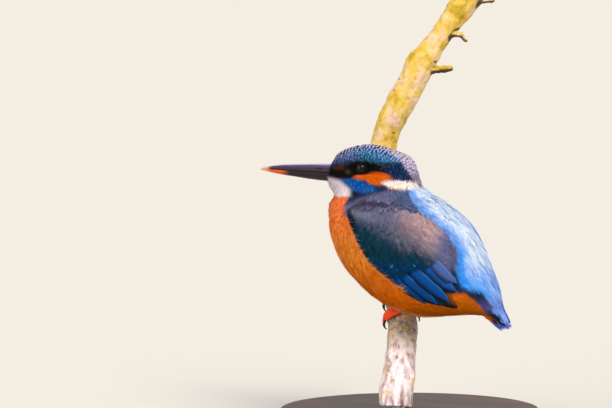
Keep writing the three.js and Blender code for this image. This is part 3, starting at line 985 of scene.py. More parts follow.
def blurred(grid: Array, passes: int, wraps: bool) -> Array:
    """Smooths a grid's facets away.

    Args:
        grid: Values by row and column.
        passes: How many times.
        wraps: Whether its last column lies beside its first.

    Returns:
        The smoothed grid.
    """
    for _ in range(passes):
        padded = np.concatenate([grid[:1], grid, grid[-1:]])
        grid = 0.25 * padded[:-2] + 0.5 * padded[1:-1] + 0.25 * padded[2:]
        left, right = np.roll(grid, 1, axis=1), np.roll(grid, -1, axis=1)
        if not wraps:
            left[:, 0], right[:, -1] = grid[:, 0], grid[:, -1]
        grid = 0.25 * left + 0.5 * grid + 0.25 * right
    return grid


def filled(grid: Array, known: Array) -> Array:
    """Gives a grid's unknown cells the value of known neighbours, ring by ring.

    Args:
        grid: Values by row and column.
        known: Which of them are known.

    Returns:
        The filled grid.
    """
    grid, known = grid.copy(), known.copy()
    for _ in range(max(grid.shape[:2])):
        if known.all():
            break
        total, count = np.zeros_like(grid), np.zeros(known.shape)
        for axis, step in ((0, 1), (0, -1), (1, 1), (1, -1)):
            beside, there = np.roll(grid, step, axis=axis), np.roll(known, step, axis=axis)
            total += np.where(there if grid.ndim == 2 else there[..., None], beside, 0.0)
            count += there
        grow = ~known & (count > 0)
        grid[grow] = (total[grow].T / count[grow]).T
        known |= grow
    return grid


class BodyMap(SurfaceMap):
    """The head and body by station, 0 at the bill and 24 at the tail, and by angle in degrees round the body.

    90 degrees is the spine, 180 the left side and 270 the keel.
    """

    # every second station's centre x and z, and the tilt of its spine side above the horizontal in degrees
    FAN = (
        (-37.65, 70.65, 76.1), (-33.3, 71.85, 74.8), (-27.4, 72.1, 61.0), (-21.7, 70.4, 43.9),
        (-16.9, 67.1, 30.4), (-15.3, 61.0, 21.3), (-12.95, 54.85, 16.4), (-6.25, 48.15, 14.1),
        (2.15, 37.9, 11.1), (11.2, 25.5, 10.9), (22.8, 14.2, 13.9), (37.6, 8.7, 16.1), (51.35, 7.0, 9.4),
    )  # fmt: skip
    ROWS, COLUMNS = 241, 240
    TIP_SHARE = 0.3  # how thick the coat is at the tail's tip, as a share of the last ring
    REACH = 60.0

    def __init__(self, flesh: BVHTree, cover: BVHTree) -> None:
        """Measures the body.

        Args:
            flesh: The body's surface.
            cover: The wings, which hide part of it.
        """
        stations = np.linspace(0.0, LAST_STATION, self.ROWS)
        fan = np.array(self.FAN)
        x, z, tilt = (np.interp(stations, np.arange(len(fan)) * 2.0, fan[:, i]) for i in range(3))
        tilt = np.radians(tilt)
        angles = np.radians(np.arange(self.COLUMNS) * 360.0 / self.COLUMNS)
        up, over = np.sin(angles)[None, :, None], np.cos(angles)[None, :, None]
        spine = np.stack([np.cos(tilt), np.zeros_like(tilt), np.sin(tilt)], axis=-1)[:, None]
        centres = np.stack([x, np.zeros_like(x), z], axis=-1)[:, None]
        share = turn_share(stations)[:, None]
        half_height = self.half_size(flesh, centres, spine, share)
        half_width = self.half_size(flesh, centres, np.array([[[0.0, -1.0, 0.0]]]), share)
        rays = unit(up * half_height * spine + over * half_width * np.array([0.0, 1.0, 0.0]))
        centres = np.broadcast_to(centres, rays.shape)
        starts = turned(centres + rays * self.REACH, share)
        rays = starts - turned(centres, share)
        rays /= self.REACH
        points, known = np.zeros_like(starts), np.zeros(starts.shape[:2], bool)
        for i in range(self.ROWS):
            for j in range(self.COLUMNS):
                hit = flesh.ray_cast(Vector(starts[i, j]), Vector(-rays[i, j]), self.REACH)[0]
                if hit is not None:
                    points[i, j], known[i, j] = hit, True
        points = blurred(filled(points, known), 5, True)
        along = np.gradient(points, stations[1], axis=0)
        degree = 360.0 / self.COLUMNS
        around = (np.roll(points, -1, axis=1) - np.roll(points, 1, axis=1)) / (2.0 * degree)
        normals = unit(np.cross(along, around))
        normals *= np.sign(np.sum(normals * rays, axis=-1, keepdims=True))
        super().__init__((0.0, 0.0), (LAST_STATION, 360.0), points, blurred(normals, 3, True), True)
        speed = np.linalg.norm(along[-4], axis=-1, keepdims=True)
        aim = np.array(TAIL_TIP) + self.TIP_SHARE * (points[-1] - points[-1].mean(axis=0))
        self.end_slope = speed * unit(aim - points[-1])
        self.row_speed = np.maximum(np.linalg.norm(along, axis=-1), 0.4)
        self.turn_speed = np.maximum(np.linalg.norm(around, axis=-1), 0.02)
        self.hidden = np.zeros(known.shape)
        for i in range(self.ROWS):
            for j in range(self.COLUMNS):
                out = Vector(normals[i, j])
                self.hidden[i, j] = cover.ray_cast(Vector(points[i, j]) + out * 0.05, out, 6.0)[0] is not None
        self.tree = KDTree(points.shape[0] * points.shape[1])
        for index, point in enumerate(points.reshape(-1, 3)):
            self.tree.insert(point, index)
        self.tree.balance()

    def half_size(self, flesh: BVHTree, centres: Array, out: Array, share: Array) -> Array:
        """How far the body reaches from its rings' centres in one direction.

        Args:
            flesh: The body's surface.
            centres: The rings' centres.
            out: The direction at each ring, or one for all.
            share: The share of the head's turn at each ring.

        Returns:
            A length for each ring.
        """
        far = turned(centres + out * self.REACH, share)[:, 0]
        centres = turned(centres, share)[:, 0]
        lengths = np.full(len(far), np.nan)
        for i, (start, centre) in enumerate(zip(far, centres)):
            hit = flesh.ray_cast(Vector(start), Vector(centre - start), self.REACH)[0]
            if hit is not None:
                lengths[i] = np.linalg.norm(np.array(hit) - centre)
        known = ~np.isnan(lengths)
        return np.interp(np.arange(len(lengths)), np.flatnonzero(known), lengths[known])[:, None, None]

    def surface(self, place: Array) -> tuple[Array, Array]:
        """Points and normals, which run straight on past the last station."""
        points, normals = super().surface(place)
        beyond = np.maximum(place[..., 0] - LAST_STATION, 0.0)[..., None]
        column = np.mod((place[..., 1] / 360.0 * self.COLUMNS).astype(int), self.COLUMNS)
        return points + self.end_slope[column] * beyond, normals

    def advance(self, place: Array, swing: Array, distance: Array) -> Array:
        """Moves places towards the tail at a constant angle round the body, apart from each one's swing."""
        down = distance * np.cos(swing) / self.read(self.row_speed, place)
        over = distance * np.sin(swing) / self.read(self.turn_speed, place)
        return np.stack([place[..., 0] + down, place[..., 1] + over], axis=-1)

    def marks(self, place: Array) -> Place:
        """Where places lie for the markings, one row each."""
        flat = place.reshape(-1, 2)
        points = super().surface(flat)[0]
        spine = np.abs(np.mod(flat[:, 1] + 90.0, 360.0) - 180.0)
        return Place(turned(points, -turn_share(flat[:, 0])), flat[:, 0], spine)

    def nearest(self, points: Array) -> Array:
        """The body's places nearest to points in the bird's frame."""
        found = np.array([self.tree.find(Vector(point))[1] for point in points])
        row, column = np.divmod(found, self.COLUMNS)
        return np.stack([row * LAST_STATION / (self.ROWS - 1), column * 360.0 / self.COLUMNS], axis=-1)

    @staticmethod
    def bake_place(place: Array) -> Array:
        """Where places of the body lie on its unwrap."""
        round_share = np.mod(place[..., 1] / 360.0, 1.0)
        return np.stack([round_share, np.clip(place[..., 0] / LAST_STATION, 0.0, 1.0)], axis=-1)


class Panel(Enum):
    """A layer of the folded wing, as the node names spell it, from the lowest up."""

    FLIGHT = "flight"
    COVERTS = "coverts"
    SCAPULARS = "scapulars"


class WingMap(SurfaceMap):
    """One folded wing and the body round it, as seen along the bird's Y: the coordinates are X and Z."""

    LOW, HIGH = (-30.0, 0.0), (50.0, 66.0)
    STEP = 0.5
    EDGE_SINK, TOP_SINK = 1.7, 0.5
    # rows of x and the feathers' slope in degrees
    LIE = ((-20.0, -94.0), (-10.0, -88.0), (5.0, -76.0), (15.0, -66.0), (25.0, -57.0), (40.0, -44.0))

    def __init__(self, side: Side, flesh: BVHTree, panels: dict[Panel, BVHTree]) -> None:
        """Measures the wing.

        Args:
            side: Which wing.
            flesh: The body's surface.
            panels: The wing's layers.
        """
        self.side = side
        xs = np.arange(self.LOW[0], self.HIGH[0] + self.STEP, self.STEP)
        zs = np.arange(self.LOW[1], self.HIGH[1] + self.STEP, self.STEP)
        shape = (len(xs), len(zs))
        depth, known, self.panel = np.zeros(shape), np.zeros(shape, bool), np.zeros(shape)
        inwards = Vector((0.0, -float(side.value), 0.0))
        for i, x in enumerate(xs):
            for j, z in enumerate(zs):
                start = Vector((x, 60.0 * side.value, z))
                for number, tree in enumerate((flesh, *(panels[panel] for panel in Panel))):
                    hit = tree.ray_cast(start, inwards, 60.0)[0]
                    if hit is not None and (not known[i, j] or (hit.y - depth[i, j]) * side.value > 0.0):
                        depth[i, j], known[i, j], self.panel[i, j] = hit.y, True, number
        depth = blurred(filled(depth, known), 3, False)
        grid_x, grid_z = np.meshgrid(xs, zs, indexing="ij")
        points = np.stack([grid_x, depth, grid_z], axis=-1)
        self.slope_x, self.slope_z = np.gradient(depth, self.STEP)
        normals = unit(np.stack([-self.slope_x, np.ones(shape), -self.slope_z], axis=-1) * side.value)
        super().__init__(self.LOW, (xs[-1], zs[-1]), points, blurred(normals, 3, False))
        self.firm = blurred((self.panel > 0.0).astype(float), 14, False)

    def lie(self, place: Array) -> Array:
        """The slope of the feathers, in radians in the XZ plane."""
        ridge = smooth(place[..., 1] + 0.55 * place[..., 0], 42.0, 58.0) * smooth(place[..., 0], -14.0, 2.0)
        return np.radians(height_on(self.LIE, place[..., 0]) + 14.0 * ridge)

    def advance(self, place: Array, swing: Array, distance: Array) -> Array:
        """Moves places down the wing."""
        slope = self.lie(place) + swing
        rise = self.read(self.slope_x, place) * np.cos(slope) + self.read(self.slope_z, place) * np.sin(slope)
        flat = distance / np.sqrt(1.0 + np.clip(rise, -2.0, 2.0) ** 2)
        return place + np.stack([flat * np.cos(slope), flat * np.sin(slope)], axis=-1)

    def sunk(self, place: Array) -> Array:
        """How far feathers sink near the wing's front and lower edge, so that it runs into the body."""
        upper = smooth(place[..., 1] + 0.55 * place[..., 0], 46.0, 53.0)
        most = self.EDGE_SINK - (self.EDGE_SINK - self.TOP_SINK) * upper
        return most * (1.0 - smooth(self.read(self.firm, place), 0.42, 0.9))

    def within(self, places: Array, lowest: int, over_edge: float, length: Array) -> Array:
        """The share of their length that feathers keep so as to end near their layers' edge.

        Args:
            places: Places by feather and section.
            lowest: The lowest layer that they cover.
            over_edge: How far over the edge they may reach, in millimetres.
            length: Their lengths.

        Returns:
            A share for each feather.
        """
        on_wing = self.over(places) >= lowest
        left = np.maximum.accumulate(np.maximum.accumulate(on_wing, axis=1) & ~on_wing, axis=1)
        inside = (~left).mean(axis=1)
        return np.clip(inside + over_edge / length, 0.25, 1.0)

    def over(self, place: Array) -> Array:
        """Which layer lies at each place: 0 for none, then 1 to 3 from the flight feathers up."""
        cells = ((place - np.array(self.low)) / self.STEP).round().astype(int)
        cells = np.clip(cells, 0, np.array(self.panel.shape) - 1)
        return self.panel[cells[..., 0], cells[..., 1]]


# ---------------------------------------------------------------- feathers


class Ring(Enum):
    """A feather's cross-section by its corners: across, from 1 to -1, and 1 above or -1 below."""

    VANE = ((1.0, 1.0), (0.0, 1.0), (-1.0, 1.0), (0.0, -1.0))
    LONG_VANE = ((1.0, 1.0), (0.55, 1.0), (0.1, 1.0), (-0.1, 1.0), (-0.55, 1.0), (-1.0, 1.0), (0.0, -1.0))
    STRAND = ((1.0, 1.0), (0.0, 1.0), (-1.0, 1.0))


@dataclass(frozen=True)
class Outline:
    """A feather's outline: where its sections stand and their share of its half-width, from root to tip."""

    shares: tuple[float, ...]
    widths: tuple[float, ...]


BROAD = Outline((0.0, 0.22, 0.45, 0.7, 0.88, 1.0), (0.45, 0.85, 1.0, 0.95, 0.62, 0.12))
POINTED = Outline((0.0, 0.25, 0.5, 0.75, 1.0), (0.5, 1.0, 0.9, 0.6, 0.06))
SMALL = Outline((0.0, 0.35, 0.72, 1.0), (0.55, 1.0, 0.85, 0.15))
LONG = Outline((0.0, 0.12, 0.3, 0.5, 0.7, 0.85, 0.94, 1.0), (0.5, 0.8, 0.95, 1.0, 0.96, 0.86, 0.62, 0.14))
QUILL = Outline((0.0, 0.12, 0.3, 0.5, 0.7, 0.84, 0.93, 1.0), (0.5, 0.8, 0.95, 1.0, 0.98, 0.82, 0.5, 0.06))
BARRED = Outline((0.0, 0.35, 0.66, 0.73, 0.85, 0.92, 1.0), (0.55, 0.95, 1.0, 1.0, 0.9, 0.7, 0.2))
HAIR = Outline((0.0, 0.5, 1.0), (1.0, 0.85, 0.08))


@dataclass
class Plumes:
    """Many feathers of one kind: rows are feathers, columns sections, and lengths are in millimetres."""

    points: Array
    normals: Array
    half_widths: Array
    colours: Array
    shares: Array
    lengths: Array
    bake: Array
    ring: Ring = Ring.VANE
    thickness: float = 0.08
    camber: float = 0.07

    def corners(self) -> dict[str, Array]:
        """Their mesh.

        Returns:
            Vertices, colours, the two maps, quads and ends by name.
        """
        count, sections = self.points.shape[:2]
        ring = np.array(self.ring.value)
        sides = len(ring)
        along = unit(np.gradient(self.points, axis=1))
        across = unit(np.cross(self.normals, along))
        out = np.cross(along, across)
        a, face = ring[:, 0], ring[:, 1]
        width = self.half_widths[..., None]
        height = (
            face * self.thickness * (1.0 - 0.9 * a * a) * np.minimum(width / 0.3, 1.0)
            - self.camber * width * a * a
        )
        vertices = (
            self.points[:, :, None] + across[:, :, None] * (width * a)[..., None]
            + out[:, :, None] * height[..., None]
        )
        colours = (
            self.colours if self.colours.ndim == 4 else np.repeat(self.colours[:, :, None], sides, axis=2)
        )
        run = self.shares[None, :] * self.lengths[:, None]
        vane = np.stack([width * a, np.repeat(run[..., None], sides, axis=2)], axis=-1)
        patch = np.stack(np.broadcast_arrays(0.0015 * a, 0.003 * (self.shares[:, None] - 0.5)), axis=-1)
        bake = np.clip(self.bake, 0.002, 0.998)[:, None, None] + patch
        first = (np.arange(count) * sections * sides)[:, None, None]
        here = np.arange(sides)
        beside = np.roll(here, -1)
        steps = (np.arange(sections - 1) * sides)[None, :, None]
        near, far = first + steps, first + steps + sides
        quads = np.stack([near + here, near + beside, far + beside, far + here], axis=-1)
        ends = np.concatenate([first[:, 0] + here[::-1], first[:, 0] + (sections - 1) * sides + here])
        return {
            "vertices": vertices.reshape(-1, 3),
            "colours": colours.reshape(-1, 3),
            "vane": vane.reshape(-1, 2),
            "bake": bake.reshape(-1, 2),
            "quads": quads.reshape(-1, 4),
            "ends": ends,
        }


class Coat:
    """The feathers' pieces, each a joined mesh of plumes."""

    MOST_TRIANGLES = 190_000
    ROWS = ("points", "normals", "half_widths", "colours", "lengths", "bake")  # with a row for each feather

    def __init__(self) -> None:
        """Starts with no pieces."""
        self.total = 0

    def piece(self, name: str, plumes: list[Plumes], finish: Finish, slot: str) -> None:
        """Joins plumes into one or more pieces.

        Args:
            name: The pieces' name, which gets a number where there are several.
            plumes: The feathers.
            finish: Their finish.
            slot: The record's material slot.
        """
        groups, size = [[]], 0
        for plume in plumes:
            sections, sides = plume.points.shape[1], len(plume.ring.value)
            each = 2 * (sections - 1) * sides + 2 * (sides - 2)
            start = 0
            while start < len(plume.points):
                room = max((self.MOST_TRIANGLES - size) // each, 0)
                if room == 0:
                    groups.append([])
                    size = 0
                    continue
                part = slice(start, start + room)
                taken = replace(plume, **{field: getattr(plume, field)[part] for field in self.ROWS})
                groups[-1].append(taken)
                size += len(taken.points) * each
                start += room
        for number, group in enumerate(groups, 1):
            if group:
                title = f"{name}_{number}" if len(groups) > 1 else name
                self.mesh(title, [plume.corners() for plume in group], finish, slot)

    def mesh(self, name: str, parts: list[dict[str, Array]], finish: Finish, slot: str) -> None:
        """Makes one piece from the meshes of its plumes.

        Args:
            name: The piece's name.
            parts: What Plumes.corners gives for each kind of feather.
            finish: Its finish.
            slot: The record's material slot.
        """
        keys = ("vertices", "colours", "vane", "bake")
        vertices, colours, vane, bake = (np.concatenate([part[key] for part in parts]) for key in keys)
        corner, totals, offset, triangles = [], [], 0, 0
        for part in parts:
            for faces in (part["quads"], part["ends"]):
                corner.append((faces + offset).ravel())
                totals.append(np.full(len(faces), faces.shape[1]))
                triangles += len(faces) * (faces.shape[1] - 2)
            offset += len(part["vertices"])
        corner, totals = np.concatenate(corner), np.concatenate(totals)
        mesh = bpy.data.meshes.new(name)
        mesh.vertices.add(len(vertices))
        mesh.vertices.foreach_set("co", from_bird(vertices).astype(np.float32).ravel())
        mesh.loops.add(len(corner))
        mesh.loops.foreach_set("vertex_index", corner.astype(np.int32))
        mesh.polygons.add(len(totals))
        mesh.polygons.foreach_set(
            "loop_start", np.concatenate([[0], np.cumsum(totals)[:-1]]).astype(np.int32)
        )
        mesh.update(calc_edges=True)
        for title, values in (("OFBake", bake), ("Vane", vane)):
            layer = mesh.uv_layers.new(name=title)
            layer.uv.foreach_set("vector", values[corner].astype(np.float32).ravel())
        paint(mesh, colours)
        obj = bpy.data.objects.new(name, mesh)
        bpy.context.scene.collection.objects.link(obj)
        smooth_shade(obj, 70.0)
        dress(obj, finish, slot)
        self.total += triangles


def paint(mesh: bpy.types.Mesh, colours: Array, title: str = "plumage") -> None:
    """Stores a linear colour at each vertex of a mesh, in the attribute with this title."""
    layer = mesh.color_attributes.new(title, "FLOAT_COLOR", "POINT")
    rows = np.concatenate([colours, np.ones((len(colours), 1))], axis=1)
    layer.data.foreach_set("color", rows.astype(np.float32).ravel())


@dataclass(frozen=True)
class Barbs:
    """How the loose barbs that fringe a tract's vanes vary: they start on a vane and run past its tip."""

    splay: float  # degrees that those at the vane's edge lean aside
    overshoot: float  # how far along the vane they end, as a share of its length
    edge_loss: float  # the share of their length that those at the edge lose
    lift: float  # how far they start above the vane
    sink: float  # the share of the tract's depth by which they start lower
    luck_pull: float  # how closely they follow their vane's luck
    luck_spread: float
    brightness: tuple[float, float]


@dataclass
class Vanes:
    """What a tract's barbs take over from its vanes, with a row for each vane."""

    places: Array
    swing: Array
    length: Array
    luck: Array
    tip_rise: Array
    bake: Array


class Plumage:
    """Lays feathers over one surface, tract by tract."""

    BARBS: Barbs
    BARB_STARTS = (0.3, 0.75)  # where along the vane barbs start

    def __init__(self, surface: SurfaceMap, body: "BodyMap", rng: np.random.Generator) -> None:
        """Takes the surface to cover, the body's and the source of chance."""
        self.surface = surface
        self.body = body
        self.rng = rng

    def aside(self, places: Array, distance: Array) -> Array:
        """Places moved across the lie of the feathers: subclasses say how."""
        raise NotImplementedError

    def sunk(self, places: Array) -> Array:
        """How far feathers sink at places."""
        return np.zeros(places.shape[:-1])

    def fitted(self, tract: "Tract", roots: Array, swing: Array, length: Array, shares: Array) -> tuple:
        """Lays middle lines: points, normals, places and lengths."""
        return (*self.surface.lay(roots, swing, length, shares), length)

    def barb_colours(self, places: Array, luck: Array, shares: Array) -> Array:
        """Colours of barbs by section: subclasses say which."""
        raise NotImplementedError

    @staticmethod
    def shaded(colours: Array, shares: Array, dark_root: float) -> Array:
        """Colours by feather and section, of which the root keeps this share of its brightness."""
        # the darker roots are partly the feathers' greyer bases, partly painted shade where each lies under
        # the next
        return colours * (dark_root + (1.0 - dark_root) * smooth(shares, 0.1, 0.7))[None, :, None]

    def widths(self, half_width: float, outline: Outline, spread: tuple[float, float], count: int) -> Array:
        """Half-widths by feather and section, each feather's a share of the middle one within the spread."""
        return half_width * self.rng.uniform(*spread, count)[:, None] * np.array(outline.widths)[None, :]

    def strands(self, tract: "Tract | WingTract", vanes: Vanes) -> Plumes:
        """Lays the loose barbs that fringe each vane of a tract.

        Args:
            tract: The patch.
            vanes: Its vanes.

        Returns:
            The barbs.
        """
        rng, barbs = self.rng, self.BARBS
        owner = np.repeat(np.arange(len(vanes.places)), tract.strands)
        count, sections = len(owner), vanes.places.shape[1]
        from_share = rng.uniform(*self.BARB_STARTS, count)
        section = np.clip((from_share * (sections - 1)).astype(int), 0, sections - 2)
        aside = rng.uniform(-1.0, 1.0, count)
        start = self.aside(vanes.places[owner, section], aside * tract.half_width * 0.9)
        lean = (
            vanes.swing[owner] + aside * math.radians(barbs.splay) + np.radians(rng.normal(0.0, 3.0, count))
        )
        reach = vanes.length[owner] * (barbs.overshoot - from_share) * rng.uniform(0.75, 1.1, count)
        reach = reach * (1.0 - barbs.edge_loss * aside**2)
        shares = np.array(HAIR.shares)
        points, normals, walked, reach = self.fitted(tract, start, lean, reach, shares)
        stand = tract.strand_stand * rng.uniform(0.0, 1.0, count)[:, None] * shares[None, :] ** 1.5
        lift = tract.rise + barbs.lift + vanes.tip_rise[owner, None] * (0.4 + 0.6 * shares[None, :]) + stand
        lift = lift - tract.depth * barbs.sink * (1.0 - shares[None, :]) ** 2 - self.sunk(walked)
        points = points + normals * lift[..., None]
        widths = self.widths(tract.strand_half_width, HAIR, (0.7, 1.3), count)
        luck = 0.5 + barbs.luck_pull * (vanes.luck[owner] - 0.5) + rng.normal(0.0, barbs.luck_spread, count)
        colours = self.barb_colours(walked, np.clip(luck, 0.0, 1.0), shares)
        colours = colours * rng.uniform(*barbs.brightness, count)[:, None, None]
        keep = self.clear(walked)
        rows = (a[keep] for a in (points, normals, widths, colours))
        return Plumes(*rows, shares, reach[keep], vanes.bake[owner][keep], Ring.STRAND, 0.09, 0.0)

    def clear(self, places: Array) -> Array:
        """Whether feathers keep clear of what they mustn't cover, one truth for each."""
        return np.ones(len(places), bool)


@dataclass(frozen=True)
class Tract:
    """A patch of body feathers of one kind, in millimetres and degrees."""

    name: str
    stations: tuple[float, float]
    angles: tuple[float, float]
    length: tuple[float, float]
    half_width: float
    row_gap: float
    gap: float
    depth: float = 1.8
    stand: float = 0.25
    swing: float = 6.0
    jitter: float = 0.3
    strands: int = 0
    strand_half_width: float = 0.14
    strand_stand: float = 0.35
    outline: Outline = BROAD
    # the share of brightness that roots keep: partly greyer bases, partly painted shade under the next
    # feather
    dark_root: float = 0.75
    barred: bool = False
    whole: bool = True  # whether each feather has one ground colour
    short_of_tail: float | None = None  # how far before the tail's tip the feathers end
    rise: float = 0.0


class BodyPlumage(Plumage):
    """Lays the feathers of the head and body, tract by tract."""

    BARBS = Barbs(7.0, 1.16, 0.25, 0.05, 0.25, 0.6, 0.3, (0.8, 1.15))
    EYE_ROOM = 2.5
    TAIL_SPREAD = 1.5  # how unevenly feathers end before the tail's tip

    def __init__(self, body: BodyMap, rng: np.random.Generator) -> None:
        """Takes the surface to cover and the source of chance."""
        super().__init__(body, body, rng)

    def aside(self, places: Array, distance: Array) -> Array:
        """Places moved round the body."""
        turn_speed = self.body.read(self.body.turn_speed, places)
        return places + np.stack([np.zeros(len(places)), distance / turn_speed], axis=-1)

    def barb_colours(self, places: Array, luck: Array, shares: Array) -> Array:
        """Colours of barbs by section."""
        return self.colours(places, luck, shares, 0.9, False)

    def fitted(self, tract: Tract, roots: Array, swing: Array, length: Array, shares: Array) -> tuple:
        """Lays middle lines, shortened where they would run past the tail's tip.

        Args:
            tract: The patch.
            roots: Where each feather starts.
            swing: How far each is turned from the lie of the coat, in radians.
            length: How long each may be.
            shares: Where its sections stand.

        Returns:
            Points, normals, places and lengths.
        """
        laid = self.body.lay(roots, swing, length, shares)
        if tract.short_of_tail is not None:
            ends = tract.short_of_tail + self.rng.uniform(-self.TAIL_SPREAD, self.TAIL_SPREAD, len(roots))
            length = length * self.short_share(laid[0], ends)
            laid = self.body.lay(roots, swing, length, shares)
        return (*laid, length)

    def roots(self, tract: Tract) -> Array:
        """Finds where a tract's feathers start: staggered rows across the lie of the coat.

        Args:
            tract: The patch.

        Returns:
            Stations and angles, a row for each feather.
        """
        rows, station, number = [], tract.stations[0], 0
        while station < tract.stations[1]:
            sample = np.stack([np.full(72, station), np.arange(72) * 5.0], axis=-1)
            off = np.abs(np.mod(sample[:, 1] + 90.0, 360.0) - 180.0)
            mine = (off >= tract.angles[0]) & (off <= tract.angles[1])
            turn_speed = self.body.read(self.body.turn_speed, sample)[mine].mean()
            row_speed = self.body.read(self.body.row_speed, sample)[mine].mean()
            count = max(int(360.0 * turn_speed / tract.gap), 8)
            step = tract.row_gap / row_speed
            shift = tract.jitter * self.rng.uniform(-1, 1, count)
            angle = (np.arange(count) + 0.5 * (number % 2) + shift) * 360.0 / count + 90.0
            off_row = step * tract.jitter * self.rng.uniform(-1, 1, count)
            row = np.stack([station + off_row, np.mod(angle, 360.0)], axis=-1)
            off = np.abs(np.mod(row[:, 1] + 90.0, 360.0) - 180.0)
            edge = 2.0 * self.rng.uniform(-1, 1, count)
            keep = (
                (off + edge * (tract.angles[0] > 0.0) >= tract.angles[0])
                & (off + edge * (tract.angles[1] < 180.0) <= tract.angles[1])
            )
            rows.append(row[keep])
            station += step
            number += 1
        return np.concatenate(rows)

    def clear(self, places: Array) -> Array:
        """Whether feathers keep clear of the eyes and aren't hidden by the wings.

        Args:
            places: Places by feather and section.

        Returns:
            One truth for each feather.
        """
        marks = self.body.marks(places)
        point = marks.point.reshape(*places.shape[:2], 3)
        near_side = np.stack([point[..., 0], np.abs(point[..., 1]), point[..., 2]], axis=-1)
        apart = np.linalg.norm(near_side - np.array(EYE_PLACE), axis=-1)
        hidden = self.body.read(self.body.hidden, places)
        under_wing = (hidden[:, 0] > 0.6) & (hidden[:, hidden.shape[1] // 2] > 0.6)
        return (apart.min(axis=1) > self.EYE_ROOM) & ~under_wing

    def lay(self, tract: Tract) -> list[Plumes]:
        """Lays one tract.

        Args:
            tract: The patch.

        Returns:
            Its vanes and, where it has them, the strands at their tips.
        """
        rng = self.rng
        roots = self.roots(tract)
        count = len(roots)
        share = (roots[:, 0] - tract.stations[0]) / (tract.stations[1] - tract.stations[0])
        first, last = tract.length
        length = (first + (last - first) * share) * rng.uniform(0.85, 1.15, count)
        swing = np.radians(tract.swing) * rng.normal(0.0, 1.0, count)
        shares = np.array(tract.outline.shares)
        points, normals, places, length = self.fitted(tract, roots, swing, length, shares)
        keep = self.clear(places)
        roots, length, swing = roots[keep], length[keep], swing[keep]
        points, normals, places = points[keep], normals[keep], places[keep]
        count = len(roots)
        luck = rng.uniform(0.0, 1.0, count)
        tip_rise = tract.stand * rng.uniform(-0.3, 1.0, count)
        rise = (
            -tract.depth * (1.0 - smooth(shares, 0.0, 0.85))[None, :]
            + tip_rise[:, None] * shares[None, :] ** 2
        )
        level = rng.uniform(-0.12, 0.04, count)[:, None]
        points = points + normals * (rise + level)[..., None]
        widths = self.widths(tract.half_width, tract.outline, (0.85, 1.15), count)
        colours = self.colours(
            places, luck if tract.barred else 0.3 + 0.4 * luck, shares, tract.dark_root, tract.whole
        )
        bake = BodyMap.bake_place(roots)
        made = [Plumes(points, normals, widths, colours, shares, length, bake)]
        if tract.barred:
            plain = self.colours(places, luck, np.zeros_like(shares), tract.dark_root, tract.whole)
            ring = Ring.LONG_VANE
            middle = np.abs(np.array(ring.value)[:, 0]) < 0.6
            made[0].colours = np.where(middle[:, None], colours[:, :, None], plain[:, :, None])
            made[0].ring = ring
        if tract.strands:
            made.append(self.strands(tract, Vanes(places, swing, length, luck, tip_rise, bake)))
        return made

    @staticmethod
    def short_share(points: Array, short_of_tail: Array) -> Array:
        """The share of their length that feathers keep so as to end before the tail's tip.

        Args:
            points: Middle lines by feather and section.
            short_of_tail: How far before the tip each one ends.

        Returns:
            A share for each feather.
        """
        run = (points - np.array(TAIL_TIP)) @ np.array(TAIL_RUN)
        room = (-short_of_tail - run[:, 0]) / np.maximum(run[:, -1] - run[:, 0], 0.5)
        return np.clip(room, 0.3, 1.0)

    def colours(self, places: Array, luck: Array, shares: Array, dark_root: float, whole: bool) -> Array:
        """Colours by feather and section.

        Args:
            places: Places by feather and section.
            luck: A random number from 0 to 1 for each feather.
            shares: How far along the feather its sections stand.
            dark_root: The share of its brightness that the root keeps.
            whole: Whether all of a feather takes the markings of the place that its outer part covers.

        Returns:
            Linear colours.
        """
        count, sections = places.shape[:2]
        if whole:
            outer = places[:, min(int(0.72 * sections), sections - 1)]
            places = np.repeat(outer[:, None], sections, axis=1)
        marks = self.body.marks(places)
        colours = MARKINGS.colour(marks, np.repeat(luck, sections), np.tile(shares, count))
        return self.shaded(colours.reshape(count, sections, 3), shares, dark_root)


@dataclass(frozen=True)
class WingTract:
    """A patch of a wing's small feathers, in millimetres and degrees.

    A patch lies on its layers between two x, and above or below a line that falls with x.
    """

    name: str
    layers: tuple[int, ...]
    x_range: tuple[float, float]
    z_range: tuple[float, float]
    length: float
    half_width: float
    row_gap: float
    gap: float
    rise: float
    depth: float = 1.2
    stand: float = 0.25
    swing: float = 5.0
    jitter: float = 0.25
    dotted: float = 0.0
    strands: int = 0
    strand_half_width: float = 0.1
    strand_stand: float = 0.25
    outline: Outline = BROAD
    rows_slope: float = -70.0
    over_edge: float = 1.2
    lead: float = 0.0  # how far before the wing's edge feathers start that run onto it
    leads_only: bool = False


@dataclass(frozen=True)
class Quill:
    """One long feather of the wing: root and tip in x and z where it shows, half-width and colours."""

    root: tuple[float, float]
    tip: tuple[float, float]
    half_width: float
    outer: str
    inner: str
    edge: str
    level: float


